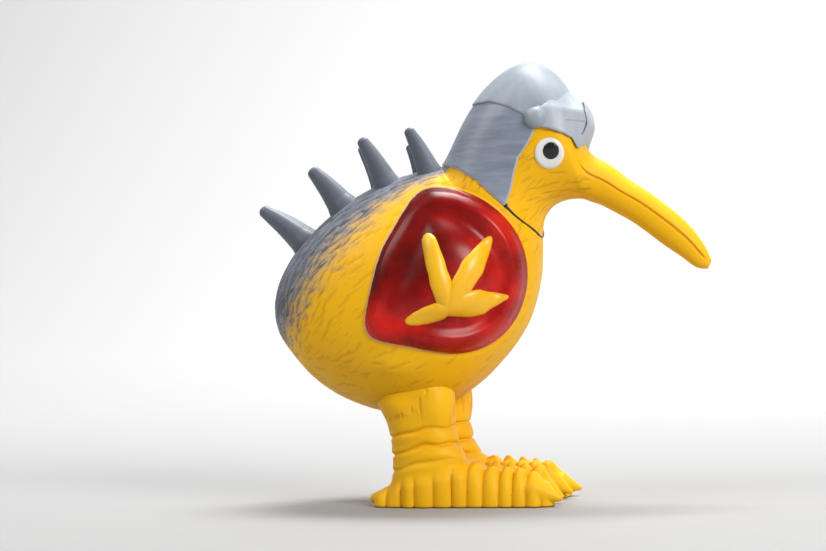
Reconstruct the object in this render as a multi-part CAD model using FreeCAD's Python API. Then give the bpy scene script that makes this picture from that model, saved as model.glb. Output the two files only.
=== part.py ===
import FreeCAD, Part
import math
import os

# Squeezable kiwi-bird toy dressed as a knight: hollow soft moulding with an inner squeaker.
# Frame: origin on the floor under the middle of the bounding box, +X the way the bird faces,
# +Y to the bird's left, +Z up. Millimetres.

V = FreeCAD.Vector
OUT_DIR = "parts"

# ---------------------------------------------------------------- driving dimensions
FRAME_SHIFT_X = -8.65           # moves the modelling datum (over the feet) to the box centre
WALL = 2.0                      # moulded skin
HELMET_SKIN = 1.6               # raised helmet, mail and strap layers
STRAP_HEIGHTS = (1.2, 2.6)      # lower and upper edge of the strap, above the neck seam
JOINT_GAP = 0.4                 # radial clearance round the neck ball and the hip barrels
NECK_RING_WALL = 2.6            # neck ball's wall
THROAT_HEIGHT = 9.0             # how far the ball's hollow runs up into the head

NECK = V(18.8, 0, 109.5)        # neck pivot
NECK_BALL_R = 21.4
NECK_SEAM_BACK = V(-1.5, 0, 116.0)
NECK_SEAM_FRONT = V(28.9, 0, 90.7)
NECK_RING_DEPTH = 4.4           # how far the ball runs on below the seam
NECK_RING_SWEEP = 4.2           # how much lower the ring's edge comes when the neck bends

HIP_X, HIP_Z = -12.0, 39.5      # hip axis, along Y
HIP_R = 12.5
HIP_Y_IN, HIP_Y_OUT = 2.5, 18.5
HIP_ROUND = 5.0
LEG_Y = 11.5
LEG_SWING_STEPS = (-10.0, -5.0, 0.0, 5.0, 10.0)     # degrees that the hip turns

PANEL_TURN = 13.0               # degrees that each side shield faces forwards of straight out
PANEL_GAP = 0.35
PANEL_FACETS = 40
PANEL_TRAVEL_STEPS = (2.2, 4.4, 6.5)
PANEL_OUT, PANEL_IN = 1.2, 1.8  # shield surface above, and back face below, the body's surface
EMBLEM_RISE = 1.0
PRISM_NEAR, PRISM_FAR = 4.0, 60.0   # reach of the side prisms out from the middle plane
WIDE = 60.0                     # half-size of cutting blocks, beyond any body section
HALF_WIDTH_CUT = 30.0           # half-width of the side-view prisms

EYE_R, PUPIL_R = 4.9, 2.9
EYE_RISE, PUPIL_RISE = 0.8, 0.5
EYE_X, EYE_START_Y, EYE_Z = 35.4, 6.0, 114.5
KNOB_R = 4.3
KNOB = V(32.5, 17.6, 127.4)

SQUEAK_X = -35.0
SQUEAK_R, SQUEAK_BORE_R = 6.0, 4.6
SQUEAK_TOP = 47.0
SQUEAK_CAP_H = 1.6
REED_TUBE_R, REED_TUBE_BORE_R = 2.3, 1.5
REED_TUBE_LOW = 39.0
REED_T, REED_W, REED_LEN = 0.35, 2.4, 6.0
REED_GAP = 0.1
REED_SEAT_WALL = 0.2            # tube left between its bore and the reed's flat
CAP_SEAT_WALL = 0.6

SPIKE_Y = 6.0
SPIKE_SINK = 4.0                # root below the body's surface before trimming
SPIKE_HOOK = -0.7               # rearward bow of each spike

CLAW_SINK = 3.0                 # claw root inside the foot
SOLE_TRIM = 1.0                 # foot drawn this far below the floor, then cut flat
OVAL_POINTS = 12                # points that each section's oval is drawn through
ARCH_POINTS = 7                 # points across each arch of the foot

# Body sections, rump to neck seam: back point, belly point (x, z) and half-width.
TORSO_SECTIONS = [
    ((-62.9, 70.5), (-63.3, 65.5), 3.2),
    ((-61.2, 76.5), (-62.0, 57.5), 11.0),
    ((-57.0, 83.8), (-58.0, 51.0), 17.5),
    ((-49.8, 91.8), (-50.5, 42.6), 24.0),
    ((-38.0, 101.2), (-40.0, 35.4), 29.0),
    ((-24.5, 107.8), (-26.0, 30.6), 32.0),
    ((-14.5, 110.6), (-10.0, 31.2), 33.0),
    ((-9.0, 111.6), (4.0, 38.0), 32.3),
    ((-6.4, 112.1), (14.0, 47.0), 30.3),
    ((-5.0, 112.4), (22.5, 58.2), 27.0),
    ((-4.2, 112.5), (26.9, 69.8), 23.8),
    ((-3.8, 112.5), (28.6, 80.0), 21.0),
    ((-3.5, 112.5), (28.8, 87.7), 19.4),
    ((-1.5, 116.0), (28.9, 90.7), 19.0),
]

# Head sections, neck seam to beak root, with the helmet and mail on.
HEAD_SECTIONS = [
    ((-1.5, 116.0), (28.9, 90.7), 19.0),
    ((0.6, 120.4), (29.5, 93.4), 18.4),
    ((3.2, 125.2), (30.8, 95.7), 18.0),
    ((8.5, 133.1), (34.3, 98.6), 17.8),
    ((16.0, 141.2), (38.0, 99.7), 17.6),
    ((27.0, 145.8), (41.0, 99.8), 17.2),
    ((36.5, 141.0), (43.2, 99.6), 15.5),
    ((42.2, 131.0), (44.6, 99.2), 12.4),
    ((45.6, 117.2), (46.2, 98.6), 8.6),
]

BEAK_SECTIONS = [
    ((45.6, 117.2), (46.2, 98.6), 8.6),
    ((51.0, 110.9), (49.6, 97.2), 6.9),
    ((57.2, 106.8), (53.5, 95.0), 6.0),
    ((63.6, 102.2), (58.3, 92.2), 5.3),
    ((70.0, 97.2), (64.0, 88.0), 4.8),
    ((76.0, 91.9), (70.3, 83.0), 4.3),
    ((80.8, 86.1), (76.4, 78.5), 3.6),
    ((84.0, 80.7), (80.8, 75.1), 2.6),
    ((85.2, 77.2), (83.4, 74.3), 1.2),
]

# Side outlines in the shield's own plane: u forwards, z up.
PANEL_OUTLINE = [(-30, 57), (-20.5, 53.2), (-9, 50.5), (4.8, 50.2), (15.5, 56.2), (22, 67.5),
                 (23.2, 78.5), (19.5, 90), (9, 100.6), (-3.5, 105.3), (-12, 104.2),
                 (-19.5, 95), (-25.5, 84), (-29.3, 70)]
EMBLEM_CENTRE = (-3.4, 65.2)
EMBLEM_TOES = [((-9.6, 89.8), 3.5), ((11.2, 88.2), 3.7), ((16.4, 68.4), 4.1), ((-17.5, 61.0), 3.1)]

# Helmet borders in side view (x, z).
DOME_BORDER = [(0, 134.5), (8.5, 133.2), (15, 133.2), (21.6, 131.2), (26.6, 129.0), (31, 127.4),
               (35.5, 128.2), (38, 132), (40, 136.8), (48, 150), (0, 150)]
MAIL_BORDER = [(0, 134.5), (8.5, 133.2), (15, 133.2), (21.6, 131.2), (26.6, 129.0), (30.8, 126.6),
               (30.6, 122.2), (28.8, 118.2), (25.2, 113.3), (23.6, 108.4), (22, 103.4), (20.2, 97.4),
               (14, 97), (-12, 108), (-12, 134)]
VISOR_BORDER = [(31, 127.4), (35.5, 128.2), (38, 132), (39.8, 136.9), (44.8, 132.6), (47.4, 129.4),
                (48.8, 123.8), (44.8, 116.6), (42.5, 119.6), (37.6, 122.4), (33, 124.2)]
VISOR_BULGE = [30.0, 127.0, 21.0, 19.4, 17.0]   # ellipsoid centre x, z and half-sizes x, y, z

# Spikes: root (x, z), tip (x, z), root radius; the left twin stands further back and is shorter.
SPIKES = [
    ((-52.5, 89.0), (-67.4, 100.6), 4.1, 0.0, 1.0),
    ((-38.6, 100.8), (-49.0, 113.4), 4.3, 3.2, 1.0),
    ((-22.8, 107.6), (-31.0, 123.0), 3.9, 4.2, 1.8),
    ((-7.6, 110.6), (-14.6, 125.6), 3.6, 4.8, 5.0),
]

LEG_SECTIONS = [  # z, centre x, half x, half y
    (5.0, -8.0, 13.0, 7.6),
    (12.0, -8.8, 12.4, 8.2),
    (17.0, -10.0, 11.2, 8.5),
    (24.0, -10.9, 11.0, 8.9),
    (31.0, -12.0, 12.3, 9.4),
    (38.0, -12.2, 12.6, 9.4),
    (42.0, -12.2, 10.5, 8.0),
]
FOOT_SECTIONS = [  # x, inner y, outer y, top z (right foot's |y|)
    (-25.0, 8.5, 14.0, 6.5),
    (-21.0, 5.5, 17.0, 12.0),
    (-12.0, 4.0, 19.2, 14.5),
    (0.0, 3.2, 20.2, 15.4),
    (12.0, 2.8, 21.0, 15.0),
    (22.0, 3.0, 21.8, 13.6),
    (29.0, 4.6, 21.6, 10.0),
]
CLAWS = [  # base (x, |y|, z), tip (x, |y|, z), base radius
    ((27.0, 17.6, 4.6), (36.8, 18.2, 1.0), 4.2),
    ((26.0, 7.4, 6.0), (35.6, 6.6, 1.2), 4.6),
    ((-22.0, 11.2, 4.4), (-30.6, 11.4, 0.8), 3.9),
]


# ---------------------------------------------------------------- helpers
def export(name, shape):
    """Write one solid, moved into the final frame."""
    moved = shape.copy()
    moved.translate(V(FRAME_SHIFT_X, 0, 0))
    moved.exportStep(os.path.join(OUT_DIR, name + ".step"))
    print("%-22s solids %d  volume %.1f  valid %s"
          % (name, len(moved.Solids), moved.Volume, moved.isValid()))


def export_pair(name, right_shape):
    """Write the right-hand piece and its mirror image."""
    export("right_" + name, right_shape)
    export("left_" + name, right_shape.mirror(V(0, 0, 0), V(0, 1, 0)))


def section_wire(back, belly, half_width, grow):
    """Closed oval across the body, from its back point round to its belly point."""
    top = V(back[0], 0, back[1])
    low = V(belly[0], 0, belly[1])
    centre = (top + low) * 0.5
    up = top - centre
    half_height = up.Length + grow
    up.normalize()
    side = V(0, 1, 0)
    points = []
    for i in range(OVAL_POINTS):
        a = 2 * math.pi * i / OVAL_POINTS
        points.append(centre + up * (half_height * math.cos(a))
                      + side * ((half_width + grow) * math.sin(a)))
    curve = Part.BSplineCurve()
    curve.interpolate(Points=points, PeriodicFlag=True)
    return Part.Wire([curve.toShape()])


def body_loft(sections, grow=0.0):
    """Solid through the sections, thickened or thinned all round by grow."""
    wires = [section_wire(b, p, w, grow) for b, p, w in sections]
    return Part.makeLoft(wires, True, False)


def side_prism(points, facets=0, grow=0.0):
    """Prism of an outline drawn in the right shield's plane, run out of the body.

    With facets, the outline is first rounded into that many short straight sides.
    """
    a = math.radians(PANEL_TURN)
    forward = V(math.cos(a), math.sin(a), 0)
    out = V(math.sin(a), -math.cos(a), 0)
    verts = [forward * u + V(0, 0, z) + out * PRISM_NEAR for u, z in points]
    if facets:
        curve = Part.BSplineCurve()
        curve.interpolate(Points=verts + [verts[0]])
        verts = curve.toShape().discretize(facets + 1)[:-1]
    wire = Part.makePolygon(verts + [verts[0]])
    if grow:
        wire = wire.makeOffset2D(grow, 2)
    return Part.Face(wire).extrude(out * (PRISM_FAR - PRISM_NEAR))


def centred_prism(points):
    """Prism of a side-view outline, the same to left and right."""
    verts = [V(x, -HALF_WIDTH_CUT, z) for x, z in points]
    return Part.Face(Part.makePolygon(verts + [verts[0]])).extrude(V(0, 2 * HALF_WIDTH_CUT, 0))


def one_solid(shape):
    """The largest solid of a result, without slivers."""
    return max(shape.Solids, key=lambda s: s.Volume)


def ellipse_wire(centre, half_a, half_b, dir_a, dir_b):
    """Closed oval about a centre, with its half-axes along two directions."""
    points = []
    for i in range(OVAL_POINTS):
        a = 2 * math.pi * i / OVAL_POINTS
        points.append(centre + dir_a * (half_a * math.cos(a)) + dir_b * (half_b * math.sin(a)))
    curve = Part.BSplineCurve()
    curve.interpolate(Points=points, PeriodicFlag=True)
    return Part.Wire([curve.toShape()])


def tapered_horn(root, tip, radius, sink, hook):
    """Round horn from root to tip, bowed sideways by hook, with a blunt end."""
    axis = tip - root
    length = axis.Length
    axis.normalize()
    side = V(0, 1, 0)
    bow = axis.cross(side)
    wires = []
    profile = ((-sink / length, 1.1), (0.0, 1.0), (0.35, 0.86), (0.7, 0.66), (0.92, 0.46), (1.0, 0.2))
    for t, r in profile:
        place = root + axis * (length * t) + bow * (hook * math.sin(math.pi * max(t, 0.0)))
        wires.append(ellipse_wire(place, radius * r, radius * r * 0.92, bow, side))
    return Part.makeLoft(wires, True, False)


# ---------------------------------------------------------------- shared envelopes
torso_outer = body_loft(TORSO_SECTIONS)
head_outer = body_loft(HEAD_SECTIONS)
seam_mid = (NECK_SEAM_BACK + NECK_SEAM_FRONT) * 0.5
seam_along = NECK_SEAM_FRONT - NECK_SEAM_BACK
seam_along.normalize()
seam_up = V(-seam_along.z, 0, seam_along.x)


def neck_slab(low, high):
    """Wide slab parallel to the neck seam, between two heights above it."""
    corners = [seam_mid + seam_along * sx * WIDE + V(0, sy * WIDE, 0) + seam_up * low
               for sx, sy in ((-1, -1), (1, -1), (1, 1), (-1, 1))]
    face = Part.Face(Part.makePolygon(corners + [corners[0]]))
    return face.extrude(seam_up * (high - low))


def hip_barrel(gap):
    """Rounded barrel on the right hip's axis, grown by gap."""
    radius = HIP_R + gap
    y_in, y_out = -(HIP_Y_IN - gap), -(HIP_Y_OUT + gap)
    barrel = Part.makeCylinder(radius, y_in - y_out, V(HIP_X, y_out, HIP_Z), V(0, 1, 0))
    return barrel.makeFillet(HIP_ROUND, [e for e in barrel.Edges if e.Closed and e.Length > radius])


# ---------------------------------------------------------------- sub-parts
def make_panel():
    """Puffed red side shield and the raised bird track on it."""
    prism = side_prism(PANEL_OUTLINE, PANEL_FACETS)
    skin = body_loft(TORSO_SECTIONS, PANEL_OUT)
    panel = skin.cut(body_loft(TORSO_SECTIONS, -PANEL_IN)).common(prism)
    panel = one_solid(panel.cut(neck_keep_out()))
    layer = body_loft(TORSO_SECTIONS, PANEL_OUT + EMBLEM_RISE).cut(skin)
    track = None
    for (u, z), half in EMBLEM_TOES:
        toe = make_toe_mark(u, z, half)
        track = toe if track is None else track.fuse(toe)
    emblem = one_solid(layer.common(track.removeSplitter()))
    return panel, emblem


def neck_keep_out():
    """Space that the neck ball takes out of the right shield's inward travel."""
    ring = Part.makeSphere(NECK_BALL_R + JOINT_GAP, NECK)
    ring = ring.common(neck_slab(-NECK_RING_DEPTH - NECK_RING_SWEEP, NECK_BALL_R))
    turn = math.radians(PANEL_TURN)
    out = V(math.sin(turn), -math.cos(turn), 0)
    swept = ring
    for travel in PANEL_TRAVEL_STEPS:
        moved = ring.copy()
        moved.translate(out * travel)
        swept = swept.fuse(moved)
    return swept


def make_toe_mark(u, z, half):
    """Leaf-shaped prism from the emblem's centre to one toe tip."""
    cu, cz = EMBLEM_CENTRE
    du, dz = u - cu, z - cz
    length = math.hypot(du, dz)
    fu, fz = du / length, dz / length
    outline = []
    for along, across in ((-0.12, 0), (0.0, 0.85), (0.45, 1.0), (0.8, 0.72), (1.0, 0.0),
                          (0.8, -0.72), (0.45, -1.0), (0.0, -0.85)):
        outline.append((cu + fu * along * length - fz * across * half,
                        cz + fz * along * length + fu * across * half))
    return side_prism(outline)


def make_torso(squeak_hole):
    """Hollow body with openings for both shields, both hips, the neck ball and the squeaker."""
    shell = torso_outer.cut(body_loft(TORSO_SECTIONS, -WALL))
    window = side_prism(PANEL_OUTLINE, PANEL_FACETS, PANEL_GAP)
    hip = hip_barrel(JOINT_GAP)
    for tool in (window, hip):
        shell = shell.cut(tool)
        shell = shell.cut(tool.mirror(V(0, 0, 0), V(0, 1, 0)))
    shell = shell.cut(Part.makeSphere(NECK_BALL_R + JOINT_GAP, NECK))
    shell = shell.cut(squeak_hole)
    return one_solid(shell)


def make_head():
    """Head skin with its neck ball, and the helmet pieces laid into its surface."""
    ball = Part.makeSphere(NECK_BALL_R, NECK).common(neck_slab(-NECK_RING_DEPTH, 0.0))
    under = body_loft(HEAD_SECTIONS, -HELMET_SKIN)
    layer = head_outer.cut(under)
    dome = one_solid(layer.common(centred_prism(DOME_BORDER)))
    mail = one_solid(layer.common(centred_prism(MAIL_BORDER)).cut(dome))
    strap = layer.common(neck_slab(*STRAP_HEIGHTS)).cut(centred_prism(MAIL_BORDER))
    strap = max(strap.Solids, key=lambda s: s.CenterOfMass.x)
    cavity = body_loft(HEAD_SECTIONS[:-1], -HELMET_SKIN - WALL)
    throat = Part.makeSphere(NECK_BALL_R - NECK_RING_WALL, NECK)
    throat = throat.common(neck_slab(-NECK_RING_DEPTH - 1, THROAT_HEIGHT))
    head = head_outer.fuse(ball)
    for tool in (dome, mail, strap, cavity, throat):
        head = head.cut(tool)
    return one_solid(head), dome, mail, strap


def make_beak():
    """Long hollow beak."""
    outer = body_loft(BEAK_SECTIONS)
    inner = body_loft(BEAK_SECTIONS[:-2], -WALL)
    return one_solid(outer.cut(inner))


def make_visor(knobs):
    """Raised visor in front of the dome, between the knobs."""
    x, z, rx, ry, rz = VISOR_BULGE
    ball = Part.makeSphere(1.0)
    scale = FreeCAD.Matrix()
    scale.scale(rx, ry, rz)
    bulge = ball.transformGeometry(scale)
    bulge.translate(V(x, 0, z))
    visor = bulge.common(centred_prism(VISOR_BORDER)).cut(head_outer)
    for knob in knobs:
        visor = visor.cut(knob)
    return one_solid(visor)


def make_eye():
    """Raised white disc and pupil on the right side of the head."""
    a = math.radians(PANEL_TURN)
    out = V(math.sin(a), -math.cos(a), 0)
    start = V(EYE_X, -EYE_START_Y, EYE_Z)
    white_tool = Part.makeCylinder(EYE_R, WIDE, start, out)
    pupil_tool = Part.makeCylinder(PUPIL_R, WIDE, start, out)
    mid = body_loft(HEAD_SECTIONS, EYE_RISE)
    top = body_loft(HEAD_SECTIONS, EYE_RISE + PUPIL_RISE)
    white = one_solid(mid.cut(head_outer).common(white_tool))
    pupil = one_solid(top.cut(mid).common(pupil_tool))
    return white, pupil


def make_leg():
    """Right leg with its hip barrel, and the right foot with toes and claws."""
    leg = leg_loft(LEG_SECTIONS, 0.0)
    keep_out = body_loft(TORSO_SECTIONS, JOINT_GAP)
    for angle in LEG_SWING_STEPS:
        turned = keep_out.copy()
        turned.rotate(V(HIP_X, 0, HIP_Z), V(0, 1, 0), angle)
        leg = leg.cut(turned)
    leg = one_solid(leg).fuse(hip_barrel(0.0))
    leg = leg.cut(leg_loft(LEG_SECTIONS[1:-1], WALL))
    leg = one_solid(leg.cut(hip_barrel(-WALL)))
    foot = make_foot_block(FOOT_SECTIONS, 0.0)
    for base, tip, radius in CLAWS:
        root = V(base[0], -base[1], base[2])
        end = V(tip[0], -tip[1], tip[2])
        foot = foot.fuse(tapered_horn(root, end, radius, CLAW_SINK, 0.0))
    floor = Part.makeBox(2 * WIDE, WIDE, WIDE, V(-WIDE, -WIDE, -WIDE))
    foot = foot.cut(floor).cut(make_foot_block(FOOT_SECTIONS[1:-1], WALL))
    foot = foot.cut(leg_loft(LEG_SECTIONS, 0.0))
    return leg, one_solid(foot)


def leg_loft(sections, wall):
    """Right thigh and ankle through the given sections, drawn in by wall all round."""
    wires = [ellipse_wire(V(cx, -LEG_Y, z), hx - wall, hy - wall, V(1, 0, 0), V(0, 1, 0))
             for z, cx, hx, hy in sections]
    return Part.makeLoft(wires, True, False)


def make_foot_block(sections, wall):
    """Right foot from heel to toes, rounded on top, drawn in by wall or run on below the floor."""
    low = wall if wall else -SOLE_TRIM
    wires = []
    for x, y_in, y_out, top in sections:
        mid = -(y_in + y_out) / 2
        half = (y_out - y_in) / 2 - wall
        arch = []
        for i in range(ARCH_POINTS):
            a = math.pi * i / (ARCH_POINTS - 1)
            height = (top - wall - low) * math.sin(a) ** 0.6
            arch.append(V(x, mid - half * math.cos(a), low + height))
        curve = Part.BSplineCurve()
        curve.interpolate(Points=arch)
        wires.append(Part.Wire([curve.toShape(), Part.makeLine(arch[-1], arch[0])]))
    return Part.makeLoft(wires, True, False)


def make_spikes():
    """Two rows of four curved back spikes."""
    spikes = {}
    for number, (root, tip, radius, stagger, shorter) in enumerate(SPIKES, 1):
        for side, name in ((-1, "right"), (1, "left")):
            back = stagger if side > 0 else 0.0
            base = V(root[0] - back, side * SPIKE_Y, root[1])
            end = V(tip[0] - back, side * SPIKE_Y, tip[1])
            along = end - base
            if side > 0:
                along = along * ((along.Length - shorter) / along.Length)
            horn = tapered_horn(base, base + along, radius, SPIKE_SINK, SPIKE_HOOK)
            spikes["%s_back_spike_%d" % (name, number)] = one_solid(horn.cut(torso_outer))
    return spikes


def make_squeaker():
    """Squeaker plug in the belly: housing, cap, reed tube and reed."""
    post = Part.makeCylinder(SQUEAK_R, SQUEAK_TOP, V(SQUEAK_X, 0, 0))
    housing = post.common(torso_outer)
    bore = Part.makeCylinder(SQUEAK_BORE_R, SQUEAK_TOP, V(SQUEAK_X, 0, 0))
    cap_low = SQUEAK_TOP - SQUEAK_CAP_H
    seat = Part.makeCylinder(SQUEAK_R - CAP_SEAT_WALL, SQUEAK_CAP_H, V(SQUEAK_X, 0, cap_low))
    housing = one_solid(housing.cut(bore).cut(seat))
    airway = Part.makeCylinder(REED_TUBE_BORE_R, SQUEAK_TOP, V(SQUEAK_X, 0, 0))
    tube = Part.makeCylinder(REED_TUBE_R, cap_low - REED_TUBE_LOW, V(SQUEAK_X, 0, REED_TUBE_LOW))
    flat_x = SQUEAK_X + REED_TUBE_BORE_R + REED_SEAT_WALL
    flat_low = REED_TUBE_LOW - 0.1
    flat = Part.makeBox(REED_TUBE_R, 2 * REED_TUBE_R, REED_LEN + 0.6, V(flat_x, -REED_TUBE_R, flat_low))
    tube = one_solid(tube.cut(airway).cut(flat))
    cap = seat.cut(airway)
    reed = Part.makeBox(REED_T, REED_W, REED_LEN, V(flat_x + REED_GAP, -REED_W / 2, flat_low))
    return post, housing, cap, tube, reed


def main():
    os.makedirs(OUT_DIR, exist_ok=True)
    squeak_hole, housing, cap, tube, reed = make_squeaker()
    export("torso_shell", make_torso(squeak_hole))
    panel, emblem = make_panel()
    export_pair("shield_panel", panel)
    export_pair("shield_emblem", emblem)
    for name, shape in make_spikes().items():
        export(name, shape)
    head, dome, mail, strap = make_head()
    export("head_shell", head)
    export("helmet_dome", dome)
    export("mail_curtain", mail)
    export("chin_strap", strap)
    export("beak", make_beak())
    left_knob = Part.makeSphere(KNOB_R, KNOB).cut(head_outer)
    right_knob = left_knob.mirror(V(0, 0, 0), V(0, 1, 0))
    export_pair("visor_knob", one_solid(right_knob))
    export("visor", make_visor((left_knob, right_knob)))
    white, pupil = make_eye()
    export_pair("eye_white", white)
    export_pair("pupil", pupil)
    leg, foot = make_leg()
    export_pair("leg", leg)
    export_pair("foot", foot)
    export("squeaker_housing", housing)
    export("squeaker_cap", cap)
    export("squeaker_reed_tube", tube)
    export("squeaker_reed", reed)


main()
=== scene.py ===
import math

import bpy
import numpy as np
import openvdb as vdb
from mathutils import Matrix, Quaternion, Vector
from mathutils.bvhtree import BVHTree
from mathutils.kdtree import KDTree


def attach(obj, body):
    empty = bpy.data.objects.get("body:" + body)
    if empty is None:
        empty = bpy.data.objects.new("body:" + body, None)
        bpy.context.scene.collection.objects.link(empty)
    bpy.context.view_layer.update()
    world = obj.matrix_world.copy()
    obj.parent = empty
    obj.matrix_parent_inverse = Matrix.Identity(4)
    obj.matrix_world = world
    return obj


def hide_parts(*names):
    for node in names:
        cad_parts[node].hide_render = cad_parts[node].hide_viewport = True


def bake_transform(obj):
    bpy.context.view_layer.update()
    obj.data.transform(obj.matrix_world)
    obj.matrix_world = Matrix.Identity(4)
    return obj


# Visual model of the squeezable kiwi-bird toy. Shapes are worked out in millimetres in the
# CAD model's own datum (over the feet) and moved into the frame when a mesh is made.
# Outlines are (x, z) in side view. A side is -1 for the bird's right and +1 for its left.

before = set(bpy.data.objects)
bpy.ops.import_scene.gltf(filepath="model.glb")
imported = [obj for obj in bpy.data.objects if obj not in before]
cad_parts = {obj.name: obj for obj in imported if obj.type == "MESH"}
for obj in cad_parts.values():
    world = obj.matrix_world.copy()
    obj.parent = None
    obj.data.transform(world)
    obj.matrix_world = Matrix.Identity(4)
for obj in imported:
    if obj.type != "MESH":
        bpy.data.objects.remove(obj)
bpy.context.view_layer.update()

MM = 0.001
DATUM_X = -8.65                      # the datum's place in the frame, along X
DETAIL = 1.0
LEG_STEP = 0.36   # voxel sizes
SHELL_STEP = 0.4
VISOR_STEP = 0.24
SIDES = ((-1, "right"), (1, "left"))

# ------------------------------------------------------------------ driving shapes
# Sections from rump to beak tip: back point, belly point (x, z) and half-width.
BODY = [
    ((-62.9, 70.5), (-63.3, 65.5), 3.2), ((-61.2, 76.5), (-62.0, 57.5), 11.0),
    ((-57.0, 83.8), (-58.0, 51.0), 17.5), ((-49.8, 91.8), (-50.5, 42.6), 24.0),
    ((-38.0, 101.2), (-40.0, 35.4), 29.0), ((-24.5, 107.8), (-26.0, 30.6), 32.0),
    ((-14.5, 110.6), (-10.0, 31.2), 33.0), ((-9.0, 111.6), (4.0, 38.0), 32.3),
    ((-6.4, 112.1), (14.0, 47.0), 30.3), ((-5.0, 112.4), (22.5, 58.2), 27.0),
    ((-4.2, 112.5), (26.9, 69.8), 23.8), ((-3.8, 112.5), (28.6, 80.0), 21.0),
    ((-3.3, 112.7), (28.8, 87.7), 19.2),
]
HEAD = [
    ((-1.2, 116.0), (28.9, 91.2), 18.4), ((3.2, 124.8), (30.9, 95.7), 17.4),
    ((8.4, 132.8), (34.3, 98.6), 17.0), ((16.0, 140.4), (38.0, 99.7), 16.8),
    ((27.0, 144.6), (41.0, 99.9), 16.2), ((35.6, 139.4), (43.2, 99.7), 14.6),
    ((40.2, 130.2), (44.6, 99.2), 12.0),
]
BEAK = [
    ((44.4, 117.2), (46.2, 98.6), 8.8), ((51.0, 111.6), (49.6, 97.2), 6.9),
    ((57.2, 106.8), (53.5, 95.0), 6.0), ((63.6, 102.2), (58.3, 92.2), 5.3),
    ((70.0, 97.2), (64.0, 88.0), 4.8), ((76.0, 91.9), (70.3, 83.0), 4.3),
    ((80.8, 86.1), (76.4, 78.5), 3.6), ((83.7, 81.0), (80.9, 75.6), 2.7),
    ((84.8, 78.2), (83.5, 75.4), 1.6),
]
EGG_SECTIONS = [0, 5, 11, 14, 18, 21, 30]          # section numbers, and how egg-shaped each is
EGG_AMOUNTS = [0, -0.10, -0.02, 0.05, 0.10, 0.0, 0.0]
SKIN_ROWS, SKIN_COLS = 480, 410
NECK_SEAM = ((-1.5, 116.0), (28.9, 90.7))
NECK_BLEND = (-2.5, 9.0)             # torso below, head above, measured up from the seam
NAPE_REACH, NAPE_ROUNDS = 8.0, 110   # smoothing of the nape, either side of the seam
GREY_X = [-64, -55, -41, -24, -12, -3, 2]          # how far grey reaches down from the back, along X
GREY_REACH = [58, 50, 40, 30, 22, 17, 12]
STROKE_X = [-62, -45, -25, -5, 12, 30, 50]         # direction of the feathers' tips, along X
STROKE_ANGLE = [-115, -128, -140, -150, -112, -168, -170]
STROKE_SPACING = 3.1
STROKE_DEPTH, STROKE_LIFT = 0.22, 0.06
MOUTH_DEPTH, RIM_DEPTH, SWELL_HEIGHT = 0.55, 0.25, 1.3   # grooves of mouth and shield rim, thigh swelling

SHIELD_TURN = math.radians(13.0)
SHIELD_CENTRE = (-3.0, 78.0)
PRESS_RANGE = (24.0, 36.0)           # distances out where a press starts to show and is full
SHIELD_OUTLINE = [(-30, 57.3), (-20.5, 53.5), (-9, 51.0), (3.8, 50.8), (14.6, 56.2), (21.2, 66.5),
                  (22.7, 78.5), (19.2, 89.6), (9.6, 99.6), (-2.2, 104.6), (-11.3, 104.2),
                  (-19.0, 95.0), (-25.2, 84), (-29.3, 70)]
POCKET_DEPTH, POCKET_FLOOR = 11.0, 6.0             # room under a shield, and its least distance out
RIM_TUCK = ((0.5, 0.1), (1.2, 0.4), (2.2, 1.2))    # drop and inset of the rings under a shield's rim
SHIELD_BACK = 2.4                                  # how far the back face lies under the skin
SHIELD_FRONT = math.radians(-15)                   # where the roll and the dish are strongest
RIM_RISE, CROWN_RISE = 1.25, 0.9
RIM_ROLL = (0.35, 1.75, 4.2, 2.6)                  # least height, more at the front, place, width
RIM_DISH = (0.4, 1.5, 10.0, 3.4)
CAST_FROM, CAST_MISS = 80.0, 60.0                  # rays start this far out; a miss ends this far in
TRACK_CENTRE = (-3.4, 65.2)
TRACK_TOES = [  # tip, half-width, and the width left near the tip
    ((-9.6, 89.8), 3.6, 0.62), ((11.2, 88.2), 3.9, 0.46),
    ((16.4, 68.4), 4.2, 0.30), ((-17.5, 61.0), 3.1, 0.46),
]
TRACK_HEEL = 2.4                     # how far each toe runs back past the centre
TRACK_RISE, TRACK_ROOT = 2.1, 0.5    # height of a toe, and how deep its edge sits

MAIL_OUTLINE = [(-2, 134.6), (8.5, 133.4), (15, 133.4), (21.6, 131.4), (26.6, 129.2), (30.8, 127.0),
                (30.9, 122.2), (28.8, 118.2), (25.2, 113.3), (23.6, 108.4), (22.4, 103.4), (20.3, 97.6),
                (15.8, 102.0), (11.3, 106.5), (4.4, 110.6), (-4.4, 112.9), (-14, 116)]
DOME_OUTLINE = [(0, 132.6), (8.5, 132.0), (15, 132.2), (21.6, 130.2), (26.6, 127.6), (31.0, 124.6),
                (35.6, 126.0), (38.4, 131), (41.5, 137.5), (46, 152), (0, 152)]
MAIL_LIFT, DOME_LIFT, SHELL_BACK = 0.65, 1.15, 1.0
HELMET_BOX = ((-12.0, -24.0, 90.0), (54.0, 24.0, 152.0))
VISOR_BOX = ((24.0, -23.0, 112.0), (53.0, 23.0, 142.0))
VISOR_OUTLINE = [(30.5, 127.6), (34.6, 131.2), (38.0, 136.4), (44.8, 132.4), (47.8, 123.6), (43.6, 116.0),
                 (42.2, 119.3), (40.0, 120.7), (35.9, 122.3), (30.5, 123.6)]
VISOR_FACETS = [  # a point (x, |y|, z) and an outward normal
    ((47.8, 0.0, 124.0), (0.97, 0.15, 0.0)),
    ((46.4, 6.2, 124.0), (0.74, 0.67, 0.0)),
    ((44.6, 0.0, 132.0), (0.50, 0.35, 0.79)),
    ((37.0, 12.0, 133.4), (0.16, 0.66, 0.73)),
    ((34.0, 17.4, 126.0), (0.25, 0.97, 0.0)),
]
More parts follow.
